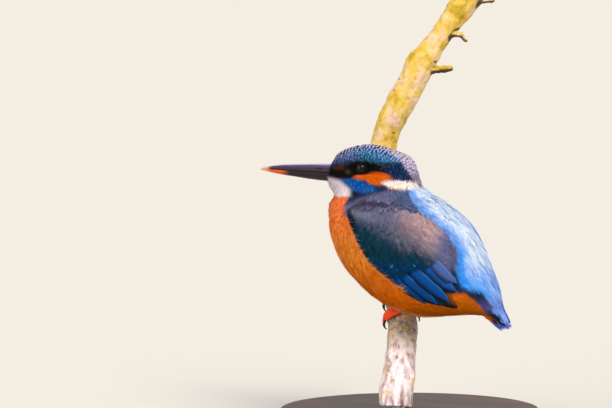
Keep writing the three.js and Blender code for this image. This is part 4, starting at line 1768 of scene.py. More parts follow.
class WingPlumage(Plumage):
    """Lays the feathers of one folded wing."""

    BARBS = Barbs(6.0, 1.15, 0.0, 0.04, 0.2, 0.5, 0.28, (0.86, 1.1))

    QUILLS = (
        Quill((14.0, 24.5), (41.6, 8.6), 2.3, "1b1416", "0d0a0c", "7a4a40", 0.0),
        Quill((11.0, 24.0), (40.4, 9.6), 2.3, "1f1719", "0e0b0d", "6a4038", 0.15),
        Quill((7.0, 23.6), (38.6, 10.6), 2.4, "1c1518", "0d0a0c", "5c3a34", 0.3),
        Quill((3.0, 23.4), (34.5, 11.4), 2.5, "0c2440", "0a080c", "142c4c", 0.45),
        Quill((-1.5, 28.5), (20.2, 13.4), 2.9, "00366e", "04040a", "0c4c84", 0.55),
        Quill((2.0, 28.0), (24.8, 11.7), 2.9, "003874", "04040a", "10528c", 0.75),
        Quill((6.5, 29.5), (31.4, 12.2), 3.0, "003c7a", "04040a", "1a5e9c", 0.95),
        Quill((13.0, 33.0), (36.8, 13.8), 3.1, "003e80", "04040a", "24629e", 1.15),
        Quill((18.5, 36.5), (39.4, 18.6), 3.1, "0c4690", "06060e", "3062a0", 1.35),
        Quill((23.0, 38.0), (39.6, 22.2), 3.0, "3a5694", "141220", "5a6aa4", 1.5),
    )  # from the outermost primary to the innermost tertial
    ROOT_SINK = 2.2  # how far the roots of the long feathers dive under the coverts
    REACH = 90.0  # how far from the wing's middle feathers are tried
    WISPS = 20000  # loose barbs tried over the area round the wing
    WISP_AREA = (-26.0, 14.0), (14.0, 50.0)  # its lowest and highest x and z
    TRACTS = (
        WingTract(
            "marginal", (1, 2, 3), (-24.0, 4.0), (16.0, 60.0), 5.0, 1.1, 2.2, 1.6, 0.10, dotted=0.03,
            strands=8, strand_half_width=0.07
        ),
        WingTract(
            "lesser", (2, 3), (-16.0, 16.0), (16.0, 60.0), 6.5, 1.3, 2.6, 1.9, 0.22, dotted=0.04, strands=12,
            strand_half_width=0.07, over_edge=2.0
        ),
        WingTract(
            "median", (2, 3), (-4.0, 34.0), (18.0, 48.0), 8.0, 1.5, 3.2, 2.3, 0.35, dotted=0.05, strands=16,
            strand_half_width=0.08, over_edge=1.6
        ),
        WingTract(
            "greater", (2,), (-3.0, 26.0), (26.0, 36.0), 6.0, 1.6, 3.6, 2.0, 0.5, dotted=0.08, strands=12,
            strand_half_width=0.08, over_edge=1.6
        ),
        WingTract(
            "scapular", (3,), (-18.0, 42.0), (26.0, 62.0), 10.0, 1.5, 2.3, 1.7, 0.5, swing=3.0, stand=0.1,
            strands=30, strand_half_width=0.07, outline=POINTED, lead=2.2
        ),
        WingTract(
            "cape", (3,), (-24.0, 6.0), (50.0, 64.0), 6.5, 1.1, 1.8, 1.3, 0.9, swing=9.0, stand=0.9,
            strands=12, strand_half_width=0.08, strand_stand=0.5, outline=POINTED, lead=4.0, leads_only=True
        ),
    )  # fmt: skip

    def aside(self, places: Array, distance: Array) -> Array:
        """Places moved across the wing."""
        slope = self.surface.lie(places)
        return places + np.stack([-np.sin(slope), np.cos(slope)], axis=-1) * distance[:, None]

    def sunk(self, places: Array) -> Array:
        """How far feathers sink at places."""
        return self.surface.sunk(places)

    def barb_colours(self, places: Array, luck: Array, shares: Array) -> Array:
        """Colours of barbs by section."""
        return self.dome_colours(places, luck, shares, np.zeros(len(places)), 0.9)

    def bake(self, points: Array) -> Array:
        """Where feathers' roots lie on the body's unwrap."""
        return BodyMap.bake_place(self.body.nearest(points))

    def roots(self, tract: WingTract) -> Array:
        """Finds where a tract's feathers start: staggered rows across the middle lie of the wing.

        Args:
            tract: The patch.

        Returns:
            Places, a row for each feather.
        """
        slope = math.radians(tract.rows_slope)
        down = np.array([math.cos(slope), math.sin(slope)])
        over = np.array([-down[1], down[0]])
        rows = np.arange(-self.REACH, self.REACH, tract.row_gap)
        columns = np.arange(-self.REACH, self.REACH, tract.gap)
        row, column = np.meshgrid(rows, columns, indexing="ij")
        column = column + 0.5 * tract.gap * (np.arange(len(rows)) % 2)[:, None]
        places = row[..., None] * down + column[..., None] * over + np.array([10.0, 36.0])
        places = places.reshape(-1, 2)
        places = places + self.rng.uniform(-1, 1, places.shape) * tract.jitter * tract.gap
        inside = (places[:, 0] > tract.x_range[0]) & (places[:, 0] < tract.x_range[1])
        inside &= (places[:, 1] > tract.z_range[0]) & (places[:, 1] < tract.z_range[1])
        found = np.isin(self.surface.over(places), tract.layers)
        if tract.lead:
            ahead = self.surface.advance(places, np.zeros(len(places)), np.full(len(places), tract.lead))
            before = (self.surface.over(places) == 0) & np.isin(self.surface.over(ahead), tract.layers)
            found = before | (found & (not tract.leads_only))
        return places[inside & found]

    def small(self, tract: WingTract) -> list[Plumes]:
        """Lays one tract.

        Args:
            tract: The patch.

        Returns:
            Its vanes and, where it has them, the strands at their tips.
        """
        rng, wing = self.rng, self.surface
        roots = self.roots(tract)
        count = len(roots)
        length = tract.length * rng.uniform(0.85, 1.15, count)
        swing = np.radians(tract.swing) * rng.normal(0.0, 1.0, count)
        shares = np.array(tract.outline.shares)
        points, normals, places = wing.lay(roots, swing, length, shares)
        length = length * wing.within(places, min(tract.layers), tract.over_edge, length)
        points, normals, places = wing.lay(roots, swing, length, shares)
        luck = rng.uniform(0.0, 1.0, count)
        dotted = (rng.uniform(0.0, 1.0, count) < tract.dotted).astype(float)
        tip_rise = tract.stand * rng.uniform(-0.2, 1.0, count)
        lift = (
            tract.rise - tract.depth * (1.0 - smooth(shares, 0.0, 0.8))[None, :]
            + tip_rise[:, None] * shares[None, :] ** 2
        )
        lift = lift + rng.uniform(-0.08, 0.08, count)[:, None] - wing.sunk(places)
        points = points + normals * lift[..., None]
        widths = self.widths(tract.half_width, tract.outline, (0.85, 1.15), count)
        calm = 0.35 + 0.3 * luck
        plain = self.dome_colours(places, calm, shares, 0.0 * dotted, 0.75)
        spotted = self.dome_colours(places, calm, shares, dotted, 0.75)
        middle = np.array(Ring.VANE.value)[:, 0] == 0.0
        colours = np.where(middle[:, None], spotted[:, :, None], plain[:, :, None])
        bake = self.bake(points[:, 0])
        made = [Plumes(points, normals, widths, colours, shares, length, bake, thickness=0.07)]
        if tract.strands:
            made.append(self.strands(tract, Vanes(places, swing, length, luck, tip_rise, bake)))
        return made

    def dome_colours(
        self, places: Array, luck: Array, shares: Array, dotted: Array, dark_root: float
    ) -> Array:
        """Colours by feather and section, from where each section lies.

        Args:
            places: Places by feather and section.
            luck: A random number from 0 to 1 for each feather.
            shares: How far along the feather its sections stand.
            dotted: 1 for a feather with a bright dot at its tip.
            dark_root: The share of its brightness that the root keeps.

        Returns:
            Linear colours.
        """
        count, sections = places.shape[:2]
        x, z = places[..., 0].ravel(), places[..., 1].ravel()
        colours = MARKINGS.wing_dome(
            self.surface.side, x, z, np.repeat(luck, sections), np.tile(shares, count),
            np.repeat(dotted, sections)
        )
        return self.shaded(colours.reshape(count, sections, 3), shares, dark_root)

    def wisps(self) -> Plumes:
        """Lays the flank's loose barbs that stray over the wing's front edge.

        Returns:
            The barbs.
        """
        rng, wing = self.rng, self.surface
        low, high = self.WISP_AREA
        places = rng.uniform(low, high, (self.WISPS, 2))
        swing = np.radians(rng.normal(56.0, 20.0, self.WISPS))
        ahead = wing.advance(places, swing, rng.uniform(0.4, 2.6, self.WISPS))
        keep = (wing.over(places) == 0) & (wing.over(ahead) > 0)
        for step in (2.5, 5.0, 8.0):
            keep &= wing.over(places - np.array([step, 0.0])) == 0
        places, swing = places[keep], swing[keep]
        count = len(places)
        shares = np.array(HAIR.shares)
        length = rng.uniform(3.0, 6.2, count)
        points, normals, _ = wing.lay(places, swing, length, shares)
        lift = 0.4 + rng.uniform(0.2, 1.1, count)[:, None] * shares[None, :]
        widths = rng.uniform(0.05, 0.11, count)[:, None] * np.array(HAIR.widths)[None, :]
        colours = (
            mix("d86c20", "ffbc88", rng.uniform(0.0, 1.0, count))[:, None] * np.ones((1, len(shares), 1))
        )
        bake = self.bake(points[:, 0])
        return Plumes(
            points + normals * lift[..., None], normals, widths, colours, shares, length, bake, Ring.STRAND,
            0.08, 0.0
        )

    def quills(self) -> Plumes:
        """Lays the long feathers, each over the one outside it.

        Returns:
            The feathers.
        """
        shares = np.array(QUILL.shares)
        roots = np.array([quill.root for quill in self.QUILLS])
        tips = np.array([quill.tip for quill in self.QUILLS])
        line = roots[:, None] + (tips - roots)[:, None] * shares[None, :, None]
        sag = np.sin(np.pi * shares)[None, :] * 0.5
        line[..., 1] += sag
        points, normals = self.surface.surface(line)
        level = np.array([quill.level for quill in self.QUILLS])[:, None] - 0.9
        sunk_root = self.ROOT_SINK * (1.0 - smooth(shares, 0.1, 0.5))
        points = points + normals * (level + (0.25 * shares - sunk_root)[None, :])[..., None]
        half_width = np.array([quill.half_width for quill in self.QUILLS])
        widths = half_width[:, None] * np.array(QUILL.widths)[None, :]
        corners = np.array(Ring.LONG_VANE.value)
        across = corners[:, 0] * -self.surface.side.value
        codes = ([getattr(quill, web) for quill in self.QUILLS] for web in ("outer", "inner", "edge"))
        outer, inner, edge = (np.stack([linear(code) for code in row])[:, None, None] for row in codes)
        side = np.broadcast_to(across, (len(roots), len(shares), len(across)))
        colours = mix(inner, outer, smooth(side, -0.75, -0.3))
        colours = mix(colours, edge, smooth(side, 0.5, 1.0) * 0.8)
        lengths = np.linalg.norm(tips - roots, axis=1)
        return Plumes(
            points, normals, widths, colours, shares, lengths, self.bake(points[:, 0]), Ring.LONG_VANE, 0.14,
            0.1
        )

    def build(self, coat: Coat) -> None:
        """Makes the wing's pieces.

        Args:
            coat: What joins feathers into pieces.
        """
        word = self.surface.side.word
        coat.piece(f"wing_{word}_quills", [self.quills()], FLIGHT_PLUMAGE, "plumage_blue")
        coat.piece(f"flank_{word}_wisps", [self.wisps()], WARM_PLUMAGE, "plumage_orange")
        coverts, scapulars = [], []
        for tract in self.TRACTS:
            (scapulars if tract.name in ("scapular", "cape") else coverts).extend(self.small(tract))
        coat.piece(f"wing_{word}_small_feathers", coverts, PLUMAGE, "plumage_blue")
        coat.piece(f"wing_{word}_shoulder_feathers", scapulars, PLUMAGE, "plumage_blue")


@dataclass
class Tail:
    """The short tail's feathers, fanned over the tail's solid, in millimetres in the bird's frame."""

    root: tuple[float, float] = (40.0, 14.2)
    tip: tuple[float, float] = (59.9, 0.9)
    root_half: float = 2.6
    tip_half: float = 3.0
    arch: float = 1.2
    rounding: float = 2.4  # how much shorter the outer feathers are
    thick: float = 1.5
    pairs: int = 6
    half_width: float = 1.35

    def plumes(self, body: BodyMap, rng: np.random.Generator) -> Plumes:
        """Lays the tail's twelve feathers, the middle pair on top.

        Args:
            body: The body's surface.
            rng: The source of chance.

        Returns:
            The feathers.
        """
        shares = np.array(LONG.shares)
        order = np.arange(2 * self.pairs)
        spread = (order - (len(order) - 1) / 2.0) / ((len(order) - 1) / 2.0)
        x = (
            self.root[0] + (self.tip[0] - self.root[0]) * shares[None, :]
            - self.rounding * spread[:, None] ** 2 * shares[None, :]
        )
        z = self.root[1] + (self.tip[1] - self.root[1]) * shares[None, :] - self.arch * spread[:, None] ** 2
        y = spread[:, None] * (self.root_half + (self.tip_half - self.root_half) * shares[None, :])
        slope = math.atan2(self.tip[1] - self.root[1], self.tip[0] - self.root[0])
        up = np.array([-math.sin(slope), 0.0, math.cos(slope)])
        points = (
            np.stack([x, y, z], axis=-1)
            + up * (0.9 * self.thick - self.thick * np.abs(spread[:, None, None]))
        )
        normals = unit(
            np.broadcast_to(up, points.shape) + np.array([0.0, 1.0, 0.0]) * (0.35 * spread)[:, None, None]
        )
        widths = self.half_width * np.array(LONG.widths)[None, :] * rng.uniform(0.95, 1.05, (len(order), 1))
        face = np.array(Ring.LONG_VANE.value)[:, 1]
        upper = mix("5c6ccc", "a4aef2", smooth(np.array(Ring.LONG_VANE.value)[:, 0], -0.4, 0.6))
        colours = np.where(face[:, None] > 0, upper, linear("5a3c34"))
        colours = np.broadcast_to(colours, (len(order), len(shares), *colours.shape)).copy()
        # darker towards the roots: partly the feathers' own darker bases, partly painted shade under the
        # coverts
        colours *= (0.6 + 0.4 * smooth(shares, 0.1, 0.8))[None, :, None, None]
        lengths = np.full(len(order), math.hypot(self.tip[0] - self.root[0], self.tip[1] - self.root[1]))
        bake = BodyMap.bake_place(body.nearest(points[:, 0]))
        return Plumes(points, normals, widths, colours, shares, lengths, bake, Ring.LONG_VANE, 0.12, 0.1)


# ---------------------------------------------------------------- the bird's pieces


@dataclass
class Skin:
    """One skin under all the feathers, in millimetres."""

    nodes: tuple[str, ...] = (
        "head", "neck", "trunk", "tail", "wing_left_scapulars", "wing_left_coverts", "wing_left_flight",
        "wing_right_scapulars", "wing_right_coverts", "wing_right_flight",
    )  # fmt: skip
    grow: float = 0.3
    voxel: float = 0.9
    head_depth: float = 1.1
    body_depth: float = 1.7

    def build(self, body: BodyMap) -> bpy.types.Object:
        """Wraps the flesh in one closed skin, sinks it by the coat's depth and paints the markings on it.

        Args:
            body: The body's surface.

        Returns:
            The skin.
        """
        copies = []
        for name in self.nodes:
            copy = node_copy(f"flesh_{name}", name)
            move_vertices(copy, positions(copy) + vertex_normals(copy) * self.grow * MM)
            copies.append(copy)
        select_only(*copies)
        bpy.ops.object.join()
        skin = bpy.context.view_layer.objects.active
        apply_modifier(skin, "REMESH", mode="VOXEL", voxel_size=self.voxel * MM)
        apply_modifier(skin, "SMOOTH", factor=0.5, iterations=10)
        settle(skin, "skin")
        points = to_bird(positions(skin))
        places = body.nearest(points)
        depth = self.head_depth + (self.body_depth - self.head_depth) * smooth(places[:, 0], 6.0, 12.0)
        move_vertices(skin, from_bird(points - vertex_normals(skin) * depth[:, None]))
        marks = body.marks(places)
        flat = np.full(len(points), 0.5)
        paint(skin.data, MARKINGS.colour(marks, flat, flat) * 0.45)
        smooth_shade(skin, 60.0)
        dress(skin, SKIN, "plumage_dusk", *self.nodes)
        return skin


@dataclass
class Bill:
    """The dagger bill, in millimetres in the bird's frame."""

    tip_x: float = -69.3
    base_x: float = -37.0
    nostril: tuple[float, float, float] = (-40.6, 2.35, 72.6)
    nostril_half: tuple[float, float] = (1.3, 0.42)
    nostril_slope: float = 0.12
    grow: float = 0.12  # makes up for what smoothing takes off

    def build(self) -> None:
        """Makes the two halves of the bill."""
        for name in ("bill_upper", "bill_lower"):
            half = node_copy(f"{name}_horn", name)
            apply_modifier(half, "REMESH", mode="VOXEL", voxel_size=0.2 * MM, adaptivity=0.0)
            apply_modifier(half, "SMOOTH", factor=0.5, iterations=4)
            normals = vertex_normals(half)
            points = to_bird(positions(half)) + normals * self.grow
            straight = turned(points, -1.0)
            if name == "bill_upper":
                dx = straight[:, 0] - self.nostril[0]
                dz = straight[:, 2] - self.nostril[2] - self.nostril_slope * dx
                away = (dx / self.nostril_half[0]) ** 2 + (dz / self.nostril_half[1]) ** 2
                dent = np.exp(-away) * smooth(np.abs(straight[:, 1]), 1.0, 1.8)
                points = points - normals * (0.5 * dent)[:, None]
                dark = dent
            else:
                dark = np.zeros(len(points))
            move_vertices(half, from_bird(points))
            paint(half.data, self.colours(straight, normals[:, 2], name == "bill_lower", dark))
            smooth_shade(half, 50.0)
            dress(half, HORN, "bill", name)

    def colours(self, straight: Array, up: Array, lower: bool, dark: Array) -> Array:
        """Horn colours: dark, with a painted lilac highlight on top, a pale tip and an orange outer lower
        half.

        Args:
            straight: The vertices on the straight bird.
            up: How far each one's normal points up.
            lower: Whether this is the lower half.
            dark: How deep in the nostril each one lies.

        Returns:
            Linear colours.
        """
        along = (self.base_x - straight[:, 0]) / (self.base_x - self.tip_x)
        if lower:
            horn = mix("140c0c", "5a200e", 0.6 * smooth(up, -0.4, -0.9))
            horn = mix(horn, "ea5a0a", smooth(along, 0.56, 0.72))
        else:
            # painted highlight: the upper half turns purple, then pale lilac, where its surface faces up
            horn = mix("130b14", "48386c", smooth(up, 0.15, 0.7))
            horn = mix(horn, "a89cd0", smooth(up, 0.66, 0.92))
        horn = mix(horn, "f2a884", smooth(along, 0.84, 0.93))
        return mix(horn, "060406", np.clip(dark * 1.4, 0.0, 1.0))


@dataclass
class Eyes:
    """The two round eyes and their lids, in millimetres in the straight bird's frame."""

    place: tuple[float, float, float] = EYE_PLACE
    radius: float = 3.2
    lid: float = 0.3
    lid_room: float = 0.12
    open_half: tuple[float, float] = (0.72, 0.62)  # the opening's half-sizes as shares of the eye's radius
    toe_in: float = 12.0  # degrees that each eye looks forwards of square to the head
    upward: float = 0.12  # how far up it looks for each step out

    def build(self) -> None:
        """Makes each eye and the bare rim round it."""
        for side in Side:
            centre = from_bird(turned(np.array(self.place) * (1.0, side.value, 1.0), 1.0))
            toe_in = math.radians(self.toe_in)
            aim = np.array([HEAD_PIVOT_X - math.sin(toe_in), math.cos(toe_in) * side.value, self.upward])
            outward = Vector(turned(aim, 1.0) - np.array([HEAD_PIVOT_X, 0.0, 0.0])).normalized()
            turn = outward.to_track_quat("Z", "Y").to_euler()
            deselect()
            bpy.ops.mesh.primitive_uv_sphere_add(
                segments=64, ring_count=40, radius=self.radius * MM, location=centre, rotation=turn
            )
            ball = bpy.context.active_object
            ball.data.uv_layers[0].name = "UVMap"
            settle(ball, f"eyeball_{side.word}")
            smooth_shade(ball, 60.0)
            dress(ball, EYE, "eye", f"eye_{side.word}")
            lids = self.lids(centre, turn)
            settle(lids, f"eyelids_{side.word}")
            smooth_shade(lids, 60.0)
            dress(lids, LID, "eye")

    def lids(self, centre: Array, turn: Euler) -> bpy.types.Object:
        """Makes the lids: a thin cap round the eye, open in front in an almond.

        Args:
            centre: The eye's centre in metres.
            turn: Which way it looks.

        Returns:
            The lids.
        """
        deselect()
        bpy.ops.mesh.primitive_uv_sphere_add(
            segments=96, ring_count=64, radius=(self.radius + self.lid_room) * MM
        )
        cap = bpy.context.active_object
        bpy.ops.object.mode_set(mode="EDIT")
        bpy.ops.mesh.select_all(action="DESELECT")
        bpy.ops.object.mode_set(mode="OBJECT")
        for face in cap.data.polygons:
            middle = face.center / (self.radius * MM)
            opening = math.hypot(middle.x / self.open_half[0], middle.y / self.open_half[1]) < 1.0
            face.select = middle.z < 0.1 or (opening and middle.z > 0.0)
        bpy.ops.object.mode_set(mode="EDIT")
        bpy.ops.mesh.delete(type="FACE")
        bpy.ops.object.mode_set(mode="OBJECT")
        apply_modifier(cap, "SOLIDIFY", thickness=self.lid * MM, offset=0.0)
        bevel(cap, 0.1, 2)
        cap.location = centre
        cap.rotation_euler = turn
        return cap


@dataclass
class Feet:
    """Legs, toes and claws, in millimetres."""

    voxel: float = 0.3
    toes: tuple[str, ...] = ("inner", "middle", "outer", "hind")

    def build(self) -> None:
        """Rounds each foot and leg and sharpens the claws' gloss."""
        for side in Side:
            for part in ("foot", "leg"):
                name = f"{part}_{side.word}"
                piece = node_copy(f"{name}_scales", name)
                apply_modifier(piece, "REMESH", mode="VOXEL", voxel_size=self.voxel * MM)
                apply_modifier(piece, "SMOOTH", factor=0.5, iterations=4)
                smooth_shade(piece, 60.0)
                dress(piece, TOE, "toe_skin", name)
            for toe in self.toes:
                name = f"claw_{side.word}_{toe}"
                claw = node_copy(f"{name}_horn", name)
                apply_modifier(claw, "SUBSURF", levels=2, render_levels=2)
                paint(claw.data, np.broadcast_to(linear("240e0a"), (len(claw.data.vertices), 3)))
                smooth_shade(claw, 60.0)
                dress(claw, CLAW, "claw", name)


# ---------------------------------------------------------------- perch and stand


@dataclass
class Perch:
    """The cut length of branch, in millimetres."""

    voxel: float = 0.55
    lumps: tuple[tuple[float, float], ...] = ((14.0, 1.6), (4.0, 0.8), (1.4, 0.35))
    turn: float = 32.0  # degrees about the upright axis
    twigs: tuple = (
        ((9.5, 46.0, 114.6), (18.5, 45.0, 116.4), (24.6, 45.0, 117.0)),
        ((19.0, 48.5, 130.0), (27.0, 47.5, 133.6), (31.4, 47.5, 129.6)),
        ((31.0, 51.0, 147.2), (38.5, 50.5, 148.4), (44.5, 50.5, 149.4)),
    )  # the broken twigs' roots, elbows and tips from the grip, before the branch is turned
    twig_reach: float = 3.2

    def char(self, branch: bpy.types.Object) -> Array:
        """Finds where shadow is painted on the branch: 1 on the undersides of its broken twigs.

        Args:
            branch: The branch.

        Returns:
            A number from 0 to 1 for each vertex.
        """
        points, normals = to_bird(positions(branch)), vertex_normals(branch)
        c, s = math.cos(math.radians(self.turn)), math.sin(math.radians(self.turn))
        turn = np.array([[c, s, 0.0], [-s, c, 0.0], [0.0, 0.0, 1.0]])
        dark = np.zeros(len(points))
        for line in self.twigs:
            root, elbow, tip = np.array(line) @ turn
            for start, end in ((mix(root, elbow, 0.55), elbow), (elbow, tip)):
                run = end - start
                share = np.clip((points - start) @ run / (run @ run), 0.0, 1.0)
                gap = np.linalg.norm(points - start - share[:, None] * run, axis=1)
                dark = np.maximum(
                    dark,
                    smooth(gap, self.twig_reach, self.twig_reach - 1.0) * smooth(normals[:, 2], 0.3, -0.3)
                )
        return dark

    def build(self) -> None:
        """Gives the branch its lumps and bark."""
        branch = node_copy("branch", "perch")
        apply_modifier(branch, "REMESH", mode="VOXEL", voxel_size=self.voxel * MM)
        apply_modifier(branch, "SMOOTH", factor=0.5, iterations=3)
        for number, (size, height) in enumerate(self.lumps):
            texture = bpy.data.textures.new(f"lumps_{number}", "CLOUDS")
            texture.noise_scale = size * MM
            texture.noise_depth = 1
            apply_modifier(
                branch, "DISPLACE", texture=texture, strength=height * MM, mid_level=0.55,
                texture_coords="LOCAL"
            )
        # stores where the painted shadow under the broken twigs goes
        paint(branch.data, np.repeat(self.char(branch)[:, None], 3, axis=1), "char")
        smooth_shade(branch, 60.0)
        dress(branch, BARK, "bark", "perch")


@dataclass
class Stand:
    """The turned base and its rods, in millimetres in the model's frame."""

    radius: float = 62.0
    thick: float = 8.0
    rods: tuple[tuple[str, float], ...] = (("front", 3.0), ("rear", 2.2))

    def build(self) -> None:
        """Makes the base, the rods and the collars where they enter it."""
        deselect()
        bpy.ops.mesh.primitive_cylinder_add(vertices=160, radius=self.radius * MM, depth=self.thick * MM)
        base = bpy.context.active_object
        low, top = (Vector(corner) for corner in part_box("stand_base"))
        base.location = (low + top) * 0.5
        base.dimensions = top - low
        settle(base, "turned_base")
        bevel(base, 1.6, 5)
        smooth_shade(base, 30.0)
        dress(base, WOOD, "base_wood", "stand_base")
        for name, radius in self.rods:
            low, high = (Vector(corner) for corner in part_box(f"stand_rod_{name}"))
            rod = node_copy(f"rod_{name}", f"stand_rod_{name}")
            smooth_shade(rod, 40.0)
            dress(rod, STEEL, "rod", f"stand_rod_{name}")
            middle = (low + high) * 0.5
            deselect()
            bpy.ops.mesh.primitive_cylinder_add(
                vertices=64, radius=(radius + 2.0) * MM, depth=1.4 * MM,
                location=(middle.x, middle.y, top.z + 0.7 * MM)
            )
            collar = bpy.context.active_object
            settle(collar, f"rod_{name}_collar")
            bevel(collar, 0.45, 3)
            smooth_shade(collar, 30.0)
            dress(collar, STEEL, "rod")


# ---------------------------------------------------------------- studio


def direction(turn: float, height: float) -> Vector:
    """The way out of the bird at a turn round it and a height above level, in degrees."""
    a, e = math.radians(turn), math.radians(height)
    return Vector((math.sin(a) * math.cos(e), -math.cos(a) * math.cos(e), math.sin(e)))


@dataclass
class Studio:
    """Floor, light and camera; the camera looks up the lens's axis at the grip."""

    azimuth: float = 32.0
    elevation: float = 6.0
    scale: float = 0.475  # millimetres of bird for each pixel of a frame 612 pixels wide
    frame_width: float = 612.0
    middle_across: float = -45.6
    middle_up: float = 56.05
    lens: float = 600.0
    sensor: float = 36.0

    def axes(self) -> tuple[Vector, Vector, Vector]:
        """The directions back to the camera, to its right and up."""
        back = direction(self.azimuth, self.elevation)
        turn = math.radians(self.azimuth)
        right = Vector((math.cos(turn), math.sin(turn), 0.0))
        return back, right, back.cross(right)

    def build_camera(self) -> None:
        """Adds the camera."""
        back, right, up = self.axes()
        width = self.scale * self.frame_width * MM
        distance = width * self.lens / self.sensor
        target = Vector(from_bird((0.0, 0.0, 0.0))) + (right * self.middle_across + up * self.middle_up) * MM
        camera = bpy.data.cameras.new("camera")
        camera.lens = self.lens
        camera.sensor_width = self.sensor
        camera.clip_end = 100.0
        camera.clip_start = 0.1
        obj = bpy.data.objects.new("camera", camera)
        obj.matrix_world = (
            Matrix.Translation(target + back * distance) @ Matrix((right, up, back)).transposed().to_4x4()
        )
        bpy.context.scene.collection.objects.link(obj)
        bpy.context.scene.camera = obj

    def build_floor(self) -> None:
        """Adds the pale floor."""
        deselect()
        bpy.ops.mesh.primitive_plane_add(size=60.0)
        floor = bpy.context.active_object
        floor.name = "floor"
        floor.data.materials.append(FLOOR.material())

    def light(
        self, name: str, turn: float, height: float, strength: float, spread: float, colour: str
    ) -> None:
        """Adds a lamp so far off that it lights the floor evenly, and so broad that its shadows are soft.

        Args:
            name: Its name.
            turn: How far it stands to the right of the camera, in degrees round the bird.
            height: How high it stands above the floor, in degrees.
            strength: Its strength in watts on each square metre.
            spread: How wide it looks from the bird, in degrees.
            colour: Its hex colour.
        """
        lamp = bpy.data.lights.new(name, "SUN")
        lamp.energy = strength
        lamp.angle = math.radians(spread)
        lamp.color = linear(colour)
        obj = bpy.data.objects.new(name, lamp)
        obj.rotation_euler = direction(self.azimuth + turn, height).to_track_quat("Z", "Y").to_euler()
        bpy.context.scene.collection.objects.link(obj)

    def build_light(self) -> None:
        """Adds the lamps and a soft sky."""
        self.light("key", 30.0, 48.0, 3.0, 30.0, "fff4e6")
        self.light("fill", -48.0, 22.0, 1.7, 60.0, "fff6ee")
        self.light("rim", 140.0, 42.0, 1.6, 40.0, "ffffff")
        world = bpy.data.worlds.new("soft_sky")
        world.use_nodes = True
        sky = world.node_tree.nodes["Background"]
        sky.inputs["Color"].default_value = rgba("f2f1ee")
        sky.inputs["Strength"].default_value = 0.4
        bpy.context.scene.world = world
        bpy.context.scene.view_settings.view_transform = "Standard"

    def build(self) -> None:
        """Builds the studio."""
        self.build_camera()
        self.build_floor()
        self.build_light()


# ---------------------------------------------------------------- the whole


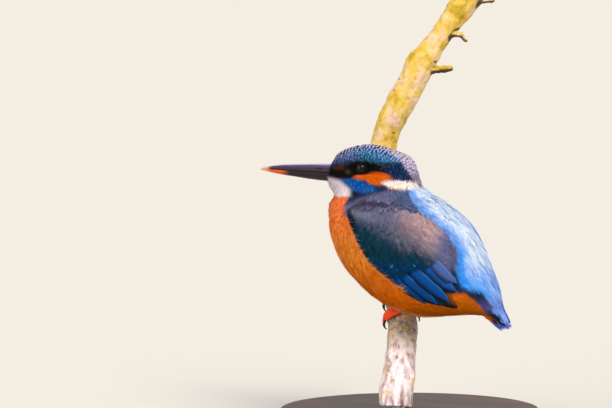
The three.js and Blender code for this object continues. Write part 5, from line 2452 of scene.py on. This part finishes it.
TRACTS = (
    Tract(
        "face", (0.7, 9.6), (34.0, 152.0), (1.5, 2.8), 0.46, 0.62, 0.62, depth=0.9, stand=0.1, strands=1,
        strand_half_width=0.08, strand_stand=0.15, outline=SMALL, whole=False
    ),
    Tract(
        "crown", (0.6, 9.8), (0.0, 62.0), (3.0, 4.2), 0.9, 1.5, 1.5, depth=1.0, stand=0.1, swing=3.0,
        jitter=0.1, outline=BARRED, dark_root=0.7, barred=True
    ),
    Tract(
        "nape", (9.2, 12.2), (0.0, 64.0), (4.5, 7.0), 1.1, 1.5, 1.3, depth=1.4, stand=0.6, strands=5,
        outline=POINTED
    ),
    Tract(
        "throat", (0.9, 9.8), (106.0, 180.0), (2.0, 5.0), 0.6, 0.85, 0.8, depth=1.0, stand=0.3, strands=3,
        strand_half_width=0.09, whole=False
    ),
    Tract(
        "ear", (7.4, 10.4), (44.0, 112.0), (3.2, 5.0), 0.75, 1.1, 0.95, depth=1.1, stand=0.3, strands=4,
        strand_half_width=0.09, outline=POINTED, whole=False
    ),
    Tract(
        "breast", (9.3, 14.5), (62.0, 180.0), (5.5, 9.0), 1.5, 1.9, 1.7, stand=0.3, strands=14,
        strand_half_width=0.1
    ),
    Tract(
        "belly", (13.8, 21.4), (84.0, 180.0), (9.0, 9.0), 1.8, 2.4, 2.1, stand=0.35, strands=13,
        strand_half_width=0.12
    ),
    Tract(
        "vent", (19.8, 24.1), (38.0, 180.0), (8.0, 7.5), 1.4, 1.8, 1.6, depth=1.5, stand=0.3, strands=6,
        short_of_tail=3.2
    ),
    Tract(
        "mantle", (10.6, 20.8), (24.0, 70.0), (7.0, 8.5), 1.2, 1.9, 1.6, stand=0.5, strands=9,
        strand_half_width=0.12, outline=POINTED
    ),
    Tract(
        "back", (10.2, 20.6), (0.0, 44.0), (7.0, 9.5), 1.2, 1.7, 1.5, stand=0.9, swing=7.0, strands=9,
        strand_half_width=0.17, outline=POINTED
    ),
    Tract(
        "rump", (20.0, 23.2), (0.0, 62.0), (9.0, 8.5), 1.3, 1.5, 1.4, depth=1.4, stand=0.2, strands=8,
        strand_half_width=0.12, outline=POINTED, short_of_tail=11.0
    ),
    Tract(
        "tail_coverts", (22.8, 24.1), (0.0, 92.0), (7.0, 7.0), 1.2, 1.2, 1.3, depth=1.0, stand=0.0, swing=3.0,
        strands=5, strand_half_width=0.1, strand_stand=0.1, outline=POINTED, short_of_tail=8.0
    ),
)  # fmt: skip


def main() -> None:
    """Builds the studio, the bird and its stand."""
    logging.basicConfig(level=logging.INFO, format="%(message)s")
    rng = np.random.default_rng(SEED)
    Studio().build()
    flesh = node_copy("flesh_probe", "head", "neck", "trunk", "tail")
    flesh_tree = surface_tree(flesh)
    wing_trees = {}
    for side in Side:
        for panel in Panel:
            probe = node_copy("wing_probe", f"wing_{side.word}_{panel.value}")
            wing_trees[side, panel] = surface_tree(probe)
            bpy.data.objects.remove(probe)
    wings_probe = node_copy(
        "wings_probe", *(f"wing_{side.word}_{panel.value}" for side in Side for panel in Panel)
    )
    body = BodyMap(flesh_tree, surface_tree(wings_probe))
    for probe in (flesh, wings_probe):
        bpy.data.objects.remove(probe)
    LOG.info("measured the body")
    Skin().build(body)
    coat = Coat()
    plumage = BodyPlumage(body, rng)
    for tract in TRACTS:
        glossy = tract.name in ("back", "rump", "tail_coverts", "crown")
        slot = "plumage_orange" if tract.name in ("breast", "belly", "vent", "throat") else "plumage_blue"
        finish = GLOSSY_PLUMAGE if glossy else WARM_PLUMAGE if slot == "plumage_orange" else PLUMAGE
        coat.piece(f"feathers_{tract.name}", plumage.lay(tract), finish, slot)
    for side in Side:
        wing = WingMap(side, flesh_tree, {panel: wing_trees[side, panel] for panel in Panel})
        WingPlumage(wing, body, rng).build(coat)
    coat.piece("tail_feathers", [Tail().plumes(body, rng)], FLIGHT_PLUMAGE, "plumage_blue")
    LOG.info("the coat has %d triangles", coat.total)
    Bill().build()
    Eyes().build()
    Feet().build()
    Perch().build()
    Stand().build()


if __name__ == "__main__":
    main()
